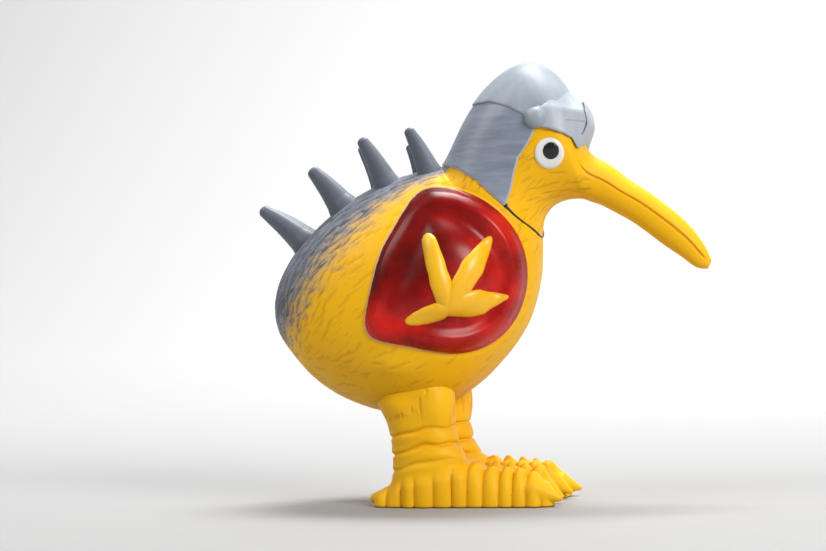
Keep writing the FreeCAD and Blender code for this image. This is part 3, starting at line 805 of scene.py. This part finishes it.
def foot_distance(p):
    """Right leg and foot: ankle flowing into a heel, ribbed outer toe and scaled inner toe."""
    d = ellipsoid(p, (-8.0, -11.6, 2.0), (13.8, 7.2, 16.5))
    heel = toe_distance(p, [(-21, 6.0), (-17, 10.0), (-8, 13.0), (0, 12.0)], 11.6, 6.9, 2.2, -2.0)
    outer = toe_distance(p, [(-12, 13.5), (0, 11.6), (8, 10.3), (22, 9.6), (30, 8.2)], 15.0, 4.9, 2.2, 27.0)
    inner = toe_distance(p, [(-8, 12), (2, 11.0), (14, 10.8), (27, 9.6)], 8.0, 3.0, 2.1, 26.0)
    web = ellipsoid(p, (8.0, -11.0, 0.0), (18.0, 6.0, 8.5))
    instep = round_cone(p, (-8.0, -12.0, 12.0), (8.0, -13.0, 7.5), 6.2, 4.0)
    d = smooth_min(smooth_min(d, heel, 3.0), web, 1.5)
    d = smooth_min(smooth_min(d, instep, 3.0), smooth_min(outer, inner, 0.6), 1.6)
    d = smooth_min(leg_distance(p), d, 3.0) - rib_swell(p)
    return smooth_min(d, inner_scales(p), 0.5)


def claw_distance(p):
    """Pointed claws in front of the two toes and the hind claw behind the heel."""
    claw = round_cone(p, (27.6, -16.2, 4.8), (35.8, -17.6, 2.4), 4.9, 0.8)
    tip = round_cone(p, (27.4, -7.2, 6.0), (34.4, -7.6, 2.2), 4.6, 0.8)
    hind = round_cone(p, (-22.0, -11.2, 3.4), (-28.0, -11.4, 2.2), 3.4, 1.9)
    return np.minimum(np.minimum(claw, tip), hind)


def thigh_strokes(points, rng):
    """0..1 depth of short upright strokes engraved round the thigh."""
    x, y, z = points.T
    depth = np.zeros(len(points))
    for _ in range(THIGH_STROKES):
        a = rng.uniform(0, 2 * math.pi)
        level = rng.uniform(*THIGH_BAND)
        half = rng.uniform(1.0, 3.2)
        beside = np.hypot(x + 12 - 12.3 * math.cos(a), y + 11.2 - 9.6 * math.sin(a))
        depth = np.maximum(depth, gauss(beside, 0.34) * np.clip(1 - ((z - level) / half) ** 2, 0, 1) ** 0.5)
    return depth


def build_legs():
    """The right leg with its foot, and its mirror image."""
    low, high = LEG_BOX
    p = voxel_axes(low, high, LEG_STEP)
    d = smooth_min(foot_distance(p), claw_distance(p), 0.5)
    d = np.maximum(np.maximum(d, -p[2]), p[1] + 1.2)
    points, quads = surface_of(d, low, LEG_STEP, 1)
    points[:, 2] = np.maximum(points[:, 2], 0.0)
    normals = vertex_normals(points, quads)
    # painted shade along the ankle creases
    crease = np.max([gauss(points[:, 2] - level, 1.0) for level in CREASE_SHADES], axis=0)
    depth = thigh_strokes(points, np.random.default_rng(21))
    points = points - normals * (THIGH_STROKE_DEPTH * depth)[:, None]
    attributes = {"groove": np.clip(depth, 0, 1), "crease": crease}
    right = new_mesh("right_leg_skin", points, quads, attributes)
    left = new_mesh("left_leg_skin", *mirrored(points, quads), attributes)
    return right, left


# ------------------------------------------------------------------ helmet pieces
def head_field(points, faces, low, high, step):
    """Voxel axes of a box over the head, and the signed distance there to the bird's skin."""
    low = [round(v / step) * step for v in low]
    grid = vdb.FloatGrid.createLevelSetFromPolygons(
        points.astype(np.float32), triangles=np.array(triangles_of(faces), np.uint32),
        transform=vdb.createLinearTransform(voxelSize=step), exBandWidth=10.0, inBandWidth=10.0)
    p = voxel_axes(low, high, step)
    array = np.zeros(p[0].shape, np.float32)
    grid.copyToArray(array, ijk=tuple(int(round(v / step)) for v in low))
    return low, p, array.astype(float)


def visor_distance(p, head):
    """Faceted bulk joined to a thin rim that hugs the head, all inside the side outline."""
    x, y, z = p
    away = np.sqrt(y * y + 0.6)
    bulk = None
    for (px, py, pz), n in VISOR_FACETS:
        plane = ((x - px) * n[0] + (away - py) * n[1] + (z - pz) * n[2]) / math.sqrt(sum(c * c for c in n))
        bulk = plane if bulk is None else smooth_max(bulk, plane, 0.9)
    body = smooth_min(bulk, head - 1.1, 1.4)
    return smooth_max(body, polygon_distance(VISOR_OUTLINE, x, z), 0.8)


def crack_distance(x, z):
    """Distance, in side view, to the thin engraved line on each cheek of the visor."""
    best = np.full(x.shape, 9.0)
    for a, b, half in CRACK:
        best = np.minimum(best, segment_distance((x, z), a, b)[0] - half)
    return best


def knob_distance(p):
    """Right hinge knob: a ball between two thin wings and a short ridge down its front."""
    ball = ellipsoid(p, (31.4, -17.2, 126.1), (3.5, 3.0, 3.5))
    wings = np.minimum(round_cone(p, (31.4, -16.2, 126.8), (26.6, -16.2, 128.2), 3.4, 0.5),
                       round_cone(p, (31.4, -16.2, 126.4), (36.8, -15.2, 127.6), 3.2, 0.5))
    ridge = round_cone(p, (36.4, -15.2, 127.2), (35.4, -15.4, 123.2), 0.7, 0.5)
    return smooth_min(smooth_min(ball, wings, 0.35), ridge, 0.5)


def build_shells(points, faces):
    """Mail curtain and helmet dome: thin shells that follow the head inside their outlines."""
    low, p, head = head_field(points, faces, *HELMET_BOX, SHELL_STEP)
    inner = -(head + SHELL_BACK)
    pieces = []
    for name, outline, lift, soft in (("mail_curtain_skin", MAIL_OUTLINE, MAIL_LIFT, 0.5),
                                      ("helmet_dome_skin", DOME_OUTLINE, DOME_LIFT, 0.8)):
        field = smooth_max(head - lift, polygon_distance(outline, p[0], p[2]), soft)
        pts, quads = surface_of(smooth_max(field, inner, 0.3), low, SHELL_STEP, 2)
        edge = -polygon_distance(MAIL_OUTLINE, pts[:, 0], pts[:, 2])
        pieces.append(new_mesh(name, pts, quads, {"edge": edge}))
    return pieces


def build_visor(points, faces):
    """Faceted visor with its engraved crack, and the hinge knob on each side."""
    low, p, head = head_field(points, faces, *VISOR_BOX, VISOR_STEP)
    visor = visor_distance(p, head)
    slot = np.maximum(crack_distance(p[0], p[2]), -(visor + 0.35))
    visor = smooth_max(smooth_max(visor, -(head + 0.3), 0.3), -slot, 0.15)
    pts, quads = surface_of(visor, low, VISOR_STEP, 1)
    line = smooth_step(0.22, -0.05, crack_distance(pts[:, 0], pts[:, 2]))
    pieces = [new_mesh("visor_skin", pts, quads, {"slot": line})]
    pts, quads = surface_of(np.maximum(knob_distance(p), p[1]), low, VISOR_STEP, 1)
    pieces.append(new_mesh("right_visor_knob_skin", pts, quads))
    pieces.append(new_mesh("left_visor_knob_skin", *mirrored(pts, quads)))
    return pieces


# ------------------------------------------------------------------ eyes and strap
def build_disc(name, side, centre, radius, rise, crown, tree):
    """Low dome on the head's surface, seen as a disc from the side."""
    rows, cols = int(26 * DETAIL) + 6, int(64 * DETAIL)
    a = 2 * math.pi * np.arange(cols) / cols
    circle = np.column_stack([radius * np.cos(a), radius * 1.05 * np.sin(a)])
    out = outwards(side)
    rings = []
    for f in np.linspace(0.04, 1.0, rows):
        height = rise * math.sqrt(max(0.0, 1 - max(0.0, (f - 0.82) / 0.18) ** 2)) + crown * (1 - f * f)
        rings.append(cast_on(circle * f + centre, side, tree) + out * height)
    for drop in (0.3, 0.9):
        rings.append(cast_on(circle + centre, side, tree) - out * drop)
    back = 0.3 * radius * np.column_stack([np.cos(a), np.sin(a)])
    rings.append(cast_on(back + centre, side, tree) - out * 0.9)
    points, faces = capped_tube(np.array(rings))
    if side < 0:
        faces = turned_over(faces)
    return new_mesh(name, points, faces)


def tube_mesh(name, path, radius, cols=12):
    """Tube of varying radius along a path, closed at both ends."""
    path = np.array(path, float)
    tangent = np.gradient(path, axis=0)
    tangent /= np.linalg.norm(tangent, axis=1)[:, None]
    side = np.cross(tangent, np.array([0.3, 0.2, 0.93]))
    side /= np.linalg.norm(side, axis=1)[:, None]
    other = np.cross(side, tangent)
    a = 2 * math.pi * np.arange(cols) / cols
    rings = (path[:, None, :] + radius[:, None, None] * (np.cos(a)[None, :, None] * side[:, None, :]
             + np.sin(a)[None, :, None] * other[:, None, :]))
    return new_mesh(name, *capped_tube(rings))


def build_strap(tree):
    """Thin painted strap from the mail's tip round the front of the neck."""
    steps, spacing = 90, 6
    whole = STRAP_HALF + [(x, -y, z) for x, y, z in STRAP_HALF[-2::-1]]
    knots = np.arange(len(whole), dtype=float)
    at = np.linspace(0, len(whole) - 1, steps)
    line = np.column_stack([spline(knots, column, at) for column in np.array(whole).T])
    path = []
    for p in line:
        place, normal, _, _ = tree.find_nearest(Vector(p))
        path.append((place + normal * STRAP_LIFT)[:])
    widths = np.random.default_rng(5).uniform(*STRAP_RADII, 16)
    radius = np.interp(np.arange(steps), np.arange(0, steps + 1, spacing), widths)
    radius[:3] = radius[-3:] = STRAP_END_RADIUS
    return tube_mesh("chin_strap_skin", path, radius)


# ------------------------------------------------------------------ materials
class Paint:
    """A principled material, with helpers that add nodes to it."""

    def __init__(self, name):
        self.material = bpy.data.materials.new(name)
        self.material.use_nodes = True
        self.tree = self.material.node_tree
        self.tree.nodes.clear()
        out = self.tree.nodes.new("ShaderNodeOutputMaterial")
        self.shader = self.tree.nodes.new("ShaderNodeBsdfPrincipled")
        self.tree.links.new(self.shader.outputs[0], out.inputs[0])

    def feed(self, value, socket):
        """Link an output, or set a constant, on a socket."""
        if hasattr(value, "is_output"):
            self.tree.links.new(value, socket)
        elif isinstance(value, tuple):
            socket.default_value = (*value, 1)
        else:
            socket.default_value = value

    def attribute(self, name):
        node = self.tree.nodes.new("ShaderNodeAttribute")
        node.attribute_name = name
        return node.outputs["Fac"]

    def place(self):
        return self.tree.nodes.new("ShaderNodeTexCoord").outputs["Object"]

    def noise(self, scale, detail=4.0, roughness=0.55, stretch=None):
        source = self.place()
        if stretch:
            mapping = self.tree.nodes.new("ShaderNodeMapping")
            mapping.inputs["Scale"].default_value = stretch
            self.tree.links.new(source, mapping.inputs["Vector"])
            source = mapping.outputs[0]
        node = self.tree.nodes.new("ShaderNodeTexNoise")
        node.inputs["Scale"].default_value = scale
        node.inputs["Detail"].default_value = detail
        node.inputs["Roughness"].default_value = roughness
        self.tree.links.new(source, node.inputs["Vector"])
        return node.outputs["Fac"]

    def dashes(self, slope, shift):
        """0..1 thin short lines running up at a slope (degrees) in side view."""
        mapping = self.tree.nodes.new("ShaderNodeMapping")
        mapping.vector_type = "TEXTURE"
        mapping.inputs["Location"].default_value = (shift, 0.0, 0.0)
        mapping.inputs["Rotation"].default_value = (0.0, math.radians(-slope), 0.0)
        mapping.inputs["Scale"].default_value = (0.0052, 0.0030, 0.00085)
        field = self.tree.nodes.new("ShaderNodeTexNoise")
        field.inputs["Scale"].default_value = 1.0
        field.inputs["Detail"].default_value = 0.0
        self.tree.links.new(self.place(), mapping.inputs["Vector"])
        self.tree.links.new(mapping.outputs[0], field.inputs["Vector"])
        return self.ramp(field.outputs["Fac"], [(0.655, BLACK), (0.70, WHITE)])

    def ramp(self, source, stops):
        node = self.tree.nodes.new("ShaderNodeValToRGB")
        elements = node.color_ramp.elements
        for element, (place, colour) in zip(elements, (stops[0], stops[-1])):
            element.position = place
            element.color = (*colour, 1)
        for place, colour in stops[1:-1]:
            elements.new(place).color = (*colour, 1)
        self.tree.links.new(source, node.inputs["Fac"])
        return node.outputs["Color"]

    def mix(self, factor, a, b):
        node = self.tree.nodes.new("ShaderNodeMix")
        node.data_type = "RGBA"
        for value, socket in ((factor, node.inputs[0]), (a, node.inputs[6]), (b, node.inputs[7])):
            self.feed(value, socket)
        return node.outputs[2]

    def maths(self, operation, a, b, clamp=False):
        node = self.tree.nodes.new("ShaderNodeMath")
        node.operation = operation
        node.use_clamp = clamp
        self.feed(a, node.inputs[0])
        self.feed(b, node.inputs[1])
        return node.outputs[0]

    def times(self, a, b, clamp=False):
        return self.maths("MULTIPLY", a, b, clamp)

    def mixed_yellow(self, amount):
        stops = [(0.30, YELLOW_DEEP), (0.50, YELLOW), (0.72, YELLOW_LIGHT)]
        return self.mix(amount, YELLOW, self.ramp(self.noise(55.0, 5.0), stops))

    def finish(self, colour, rough, rough_noise, grain, strength, specular=None):
        """Base colour, roughness from noise between two limits, and a fine bump from grain."""
        self.tree.links.new(colour, self.shader.inputs["Base Color"])
        limits = self.tree.nodes.new("ShaderNodeMapRange")
        limits.inputs["To Min"].default_value, limits.inputs["To Max"].default_value = rough
        self.tree.links.new(rough_noise, limits.inputs["Value"])
        self.tree.links.new(limits.outputs[0], self.shader.inputs["Roughness"])
        bump = self.tree.nodes.new("ShaderNodeBump")
        bump.inputs["Strength"].default_value = strength
        bump.inputs["Distance"].default_value = 0.0002
        self.tree.links.new(grain, bump.inputs["Height"])
        self.tree.links.new(bump.outputs[0], self.shader.inputs["Normal"])
        if specular is not None:
            self.shader.inputs["Specular IOR Level"].default_value = specular
        return self.material


def skin_material():
    paint = Paint("latex_bird_skin")
    grey = paint.attribute("grey")
    jitter = paint.times(paint.maths("SUBTRACT", paint.noise(1600.0, 2.0), 0.5), 0.55)
    mask = paint.maths("ADD", grey, paint.times(jitter, paint.times(grey, 1.4)), True)
    grey_tone = paint.ramp(paint.noise(160.0), [(0.3, SPRAY_GREYS[0]), (0.7, SPRAY_GREYS[1])])
    colour = paint.mix(mask, paint.mixed_yellow(0.18), grey_tone)
    hatch = paint.times(paint.dashes(38.0, 0.3), paint.attribute("feathered"))
    groove = paint.maths("MAXIMUM", paint.attribute("groove"), hatch)
    in_yellow = paint.mix(paint.times(groove, 0.42), colour, FEATHER_BROWN)
    in_grey = paint.mix(paint.times(groove, 0.80), colour, GREY_WASH)
    colour = paint.mix(paint.times(grey, 2.2, True), in_yellow, in_grey)
    colour = paint.mix(paint.times(paint.attribute("mouth"), 0.60), colour, MOUTH_BROWN)
    # painted shade: brown darkening round the top of each thigh
    colour = paint.mix(paint.times(paint.attribute("fold_shade"), 0.25), colour, FOLD_SHADE_BROWN)
    return paint.finish(colour, (0.40, 0.56), paint.noise(300.0), paint.noise(1400.0, 3.0), 0.10, 0.20)


def leg_material():
    paint = Paint("latex_leg_skin")
    groove = paint.times(paint.attribute("groove"), 0.38)
    colour = paint.mix(groove, paint.mixed_yellow(0.35), LEG_BROWN)
    # painted shade: darker bands along the ankle creases
    colour = paint.mix(paint.times(paint.attribute("crease"), 0.18), colour, CREASE_SHADE_BROWN)
    return paint.finish(colour, (0.40, 0.56), paint.noise(300.0), paint.noise(1400.0, 3.0), 0.10, 0.20)


def shield_material():
    """Glossy red with painted shade towards the upper rear, and a cream line along the rear rim."""
    paint = Paint("gloss_red_paint")
    painted_shade = paint.maths("SUBTRACT", paint.noise(60.0, 5.0), paint.times(paint.attribute("painted_shade"), 0.34))
    base = paint.ramp(painted_shade, [(0.12, RED_DARK), (0.40, RED_DEEP), (0.62, RED)])
    base = paint.mix(paint.maths("GREATER_THAN", paint.noise(700.0, 2.0), 0.78), base, RED_SPECK)
    ragged_edge = paint.maths("SUBTRACT", paint.attribute("edge"), paint.times(paint.noise(400.0, 3.0), 0.6))
    line = paint.times(paint.maths("LESS_THAN", ragged_edge, 0.20), paint.attribute("rear"))
    colour = paint.mix(paint.times(line, 0.8), base, CREAM_LINE)
    return paint.finish(colour, (0.22, 0.32), paint.noise(220.0, 3.0), paint.noise(380.0, 3.0), 0.07, 0.22)


def track_material():
    paint = Paint("gloss_yellow_paint")
    return paint.finish(paint.mixed_yellow(0.4), (0.30, 0.44), paint.noise(260.0, 3.0),
                        paint.noise(500.0, 3.0), 0.06)


def spike_material():
    paint = Paint("satin_spike_paint")
    brushed = paint.noise(140.0, stretch=(1.0, 1.0, 0.25))
    tone = paint.maths("ADD", paint.times(paint.attribute("flank"), 0.6), paint.times(brushed, 0.4))
    base = paint.ramp(tone, list(zip((0.15, 0.55, 0.95), SPIKE_GREYS)))
    return paint.finish(base, (0.36, 0.50), paint.noise(400.0, 3.0), paint.noise(900.0, 3.0), 0.08)


def helmet_material(name, greys, slot=False):
    paint = Paint(name)
    base = paint.ramp(paint.noise(120.0, 5.0, 0.6, (1.0, 1.0, 0.22)), [(0.30, greys[0]), (0.70, greys[1])])
    if slot:
        base = paint.mix(paint.attribute("slot"), base, CRACK_GREY)
    return paint.finish(base, (0.40, 0.54), paint.noise(500.0, 3.0),
                        paint.noise(700.0, 4.0, 0.6, (1.0, 1.0, 0.15)), 0.08)


def mail_material():
    """Grey with fine level streaks and a pale painted highlight along the rim."""
    paint = Paint("satin_mail_paint")
    streaks = paint.noise(420.0, 5.0, 0.6, (0.16, 0.16, 1.0))
    base = paint.ramp(streaks, [(0.32, MAIL_GREYS[0]), (0.68, MAIL_GREYS[1])])
    # painted highlight: pale band just inside the mail's outline
    rim = paint.maths("LESS_THAN", paint.attribute("edge"), 0.45)
    colour = paint.mix(paint.times(rim, 0.6), base, MAIL_RIM_HIGHLIGHT)
    return paint.finish(colour, (0.32, 0.44), paint.noise(500.0, 3.0),
                        paint.noise(900.0, 4.0, 0.6, (0.15, 0.15, 1.0)), 0.12)


def plain_material(name, colour, rough, vary=0.15):
    paint = Paint(name)
    dark = tuple(c * (1 - vary) for c in colour)
    base = paint.ramp(paint.noise(260.0), [(0.3, dark), (0.7, colour)])
    return paint.finish(base, rough, paint.noise(500.0, 3.0), paint.noise(900.0, 3.0), 0.05)


# ------------------------------------------------------------------ assembly
def dress(obj, material):
    obj.data.materials.clear()
    obj.data.materials.append(material)


def place_piece(obj, material, slot, replaced, *bodies):
    """Paint a piece and hide the CAD nodes it replaces; the slot is not used.

    With one body name, parent it to that body's empty; with two names and the start and end of a blend
    between them, only bake its place into its mesh."""
    dress(obj, material)
    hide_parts(*replaced)
    if len(bodies) == 1:
        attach(obj, *bodies)
    else:
        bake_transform(obj)


def neck_blend():
    """Torso below the neck's seam and head above it."""
    (ax, az), (bx, bz) = NECK_SEAM
    mid = np.array([(ax + bx) / 2, 0, (az + bz) / 2])
    along = np.array([bx - ax, 0, bz - az])
    along /= np.linalg.norm(along)
    up = np.array([-along[2], 0, along[0]])
    start, end = to_frame(np.array([mid + up * level for level in NECK_BLEND]))
    return "torso", "head", start, end


def press_blend(side, word):
    """The body and the pressed side, with points out from the shield's centre where a blend between them
    starts and ends.
    """
    start, end = to_frame(np.array([from_shield_plane(*SHIELD_CENTRE, out, side) for out in PRESS_RANGE]))
    return "torso", word + "_side", start, end


def add_shields(tree):
    red, yellow = shield_material(), track_material()
    for side, word in SIDES:
        shield, shield_tree = build_shield(side, word + "_shield_skin", tree)
        track = build_track(side, word + "_track_skin", shield_tree)
        blend = press_blend(side, word)
        place_piece(shield, red, "shield_red", [word + "_shield_panel"], *blend)
        place_piece(track, yellow, "emblem_yellow", [word + "_shield_emblem"], *blend)


def add_spikes():
    grey = spike_material()
    for number, (root, tip, radius, stagger, shorter) in enumerate(SPIKES, 1):
        for side, word in SIDES:
            back = stagger if side > 0 else 0.0
            base = np.array([root[0] - back, side * SPIKE_Y, root[1]])
            peak = np.array([tip[0] - back, side * SPIKE_Y, tip[1]])
            if side > 0:
                length = np.linalg.norm(peak - base)
                peak = base + (peak - base) * (length - shorter) / length
            spike = build_spike("%s_spike_%d_skin" % (word, number), base, peak, radius)
            place_piece(spike, grey, "spike_grey", ["%s_back_spike_%d" % (word, number)], "torso")


def add_legs():
    yellow = leg_material()
    for leg, (_, word) in zip(build_legs(), SIDES):
        place_piece(leg, yellow, "skin_yellow", [word + "_leg", word + "_foot"], word + "_leg")


def add_helmet(points, faces):
    mail, dome = build_shells(points, faces)
    visor, *knobs = build_visor(points, faces)
    helmet_grey = helmet_material("satin_helmet_paint", HELMET_GREYS)
    visor_grey = helmet_material("satin_visor_paint", VISOR_GREYS, slot=True)
    place_piece(mail, mail_material(), "mail_grey", ["mail_curtain"], *neck_blend())
    place_piece(dome, helmet_grey, "helmet_grey", ["helmet_dome"], "head")
    place_piece(visor, visor_grey, "helmet_grey", ["visor"], "head")
    for knob, (_, word) in zip(knobs, SIDES):
        place_piece(knob, helmet_grey, "helmet_grey", [word + "_visor_knob"], "head")


def add_eyes(tree):
    white = plain_material("eye_white_paint", EYE_WHITE, (0.28, 0.38), 0.06)
    black = plain_material("pupil_paint", PUPIL_BLACK, (0.16, 0.24), 0.3)
    eye_u = EYE_X * math.cos(SHIELD_TURN) - EYE_Y * math.sin(SHIELD_TURN)
    for side, word in SIDES:
        for disc, name, node, paint, slot in ((EYE_DISC, "_eye_skin", "_eye_white", white, "eye_white"),
                                              (PUPIL_DISC, "_pupil_skin", "_pupil", black, "pupil_black")):
            along, up, *size = disc
            piece = build_disc(word + name, side, (eye_u + along, EYE_Z + up), *size, tree)
            place_piece(piece, paint, slot, [word + node], "head")


def build_toy():
    skin, points, faces = build_skin()
    tree = tree_of(points, faces)
    place_piece(skin, skin_material(), "skin_yellow", ["torso_shell", "head_shell", "beak"], *neck_blend())
    add_shields(tree)
    add_spikes()
    add_legs()
    add_helmet(points, faces)
    add_eyes(tree)
    strap_paint = plain_material("strap_paint", STRAP_BLACK, (0.35, 0.5), 0.3)
    place_piece(build_strap(tree), strap_paint, "strap_black", ["chin_strap"], *neck_blend())
    plastic = plain_material("squeaker_plastic", SQUEAKER_WHITE, (0.35, 0.5))
    for name in ("squeaker_housing", "squeaker_cap", "squeaker_reed_tube", "squeaker_reed"):
        dress(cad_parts[name], plastic)


# ------------------------------------------------------------------ studio
LIGHTS = (  # name, place, aim, watts, size
    ("right_light", (0.80, -0.60, 0.55), (0.0, 0.0, 0.08), 9.3, 0.5),
    ("left_light", (-0.80, -0.50, 0.95), (0.0, 0.0, 0.08), 5.4, 0.6),
    ("top_light", (0.15, 0.20, 1.05), (0.0, 0.0, 0.08), 4.7, 0.7),
    ("backdrop_light", (0.0, 0.45, 1.5), (0.0, 1.2, 0.4), 33.0, 0.8),
)
FLOOR_HALF, FLOOR_FRONT, FLOOR_BEND, WALL_RADIUS, WALL_TOP = 2.6, -3.4, 0.7, 0.5, 2.4
FLOOR_GAP = 0.0002                   # the floor lies this far under the soles
WORLD_STRENGTH = 0.27
AZIMUTH, DISTANCE, HEIGHT, ROLL = math.radians(15.0), 0.72, 0.0727, math.radians(-1.76)
LENS, SENSOR, SHIFT, AIM_X = 92.8, 36.0, (0.007, 0.013), -18.0


def build_floor():
    """Pale paper sweep with painted light: darker near the front and brighter towards the wall."""
    bend = [(FLOOR_BEND + WALL_RADIUS * math.sin(a), WALL_RADIUS - WALL_RADIUS * math.cos(a))
            for a in np.linspace(0.1, math.pi / 2, 12)]
    profile = [(FLOOR_FRONT, 0.0), (FLOOR_BEND, 0.0), *bend, (FLOOR_BEND + WALL_RADIUS, WALL_TOP)]
    verts = [(x, y, z - FLOOR_GAP) for x in (-FLOOR_HALF, FLOOR_HALF) for y, z in profile]
    n = len(profile)
    mesh = bpy.data.meshes.new("studio_floor")
    mesh.from_pydata(verts, [], [(i, n + i, n + i + 1, i + 1) for i in range(n - 1)])
    mesh.polygons.foreach_set("use_smooth", [True] * len(mesh.polygons))
    floor = bpy.data.objects.new("studio_floor", mesh)
    bpy.context.scene.collection.objects.link(floor)
    paint = Paint("studio_paper")
    split = paint.tree.nodes.new("ShaderNodeSeparateXYZ")
    paint.tree.links.new(paint.place(), split.inputs[0])
    # painted light on the sweep: its grey rises from the front to the wall
    paper = paint.ramp(split.outputs["Y"], [(0.10, PAPER_SHADED_NEAR), (0.85, PAPER_LIT_FAR)])
    paint.tree.links.new(paper, paint.shader.inputs["Base Color"])
    paint.shader.inputs["Roughness"].default_value = 0.9
    dress(floor, paint.material)


def build_lights():
    for name, place, aim, power, size in LIGHTS:
        light = bpy.data.lights.new(name, "AREA")
        light.energy = power
        light.shape = "DISK"
        light.size = size
        obj = bpy.data.objects.new(name, light)
        obj.location = place
        obj.rotation_euler = (Vector(aim) - Vector(place)).to_track_quat("-Z", "Y").to_euler()
        bpy.context.scene.collection.objects.link(obj)
    world = bpy.data.worlds.new("studio_world")
    world.use_nodes = True
    background = world.node_tree.nodes["Background"]
    background.inputs[0].default_value = (*WHITE, 1)
    background.inputs[1].default_value = WORLD_STRENGTH
    bpy.context.scene.world = world
    bpy.context.scene.view_settings.view_transform = "Standard"


def build_camera():
    camera = bpy.data.cameras.new("photo_camera")
    camera.lens = LENS
    camera.sensor_width = SENSOR
    camera.shift_x, camera.shift_y = SHIFT
    obj = bpy.data.objects.new("photo_camera", camera)
    bpy.context.scene.collection.objects.link(obj)
    toward = Vector((-math.sin(AZIMUTH), math.cos(AZIMUTH), 0.0))
    obj.location = Vector(((AIM_X + DATUM_X) * MM, 0.0, HEIGHT)) - toward * DISTANCE
    obj.rotation_mode = "QUATERNION"
    obj.rotation_quaternion = toward.to_track_quat("-Z", "Y") @ Quaternion((0, 0, 1), ROLL)
    bpy.context.scene.camera = obj


build_toy()
build_floor()
build_lights()
build_camera()
bpy.context.view_layer.update()
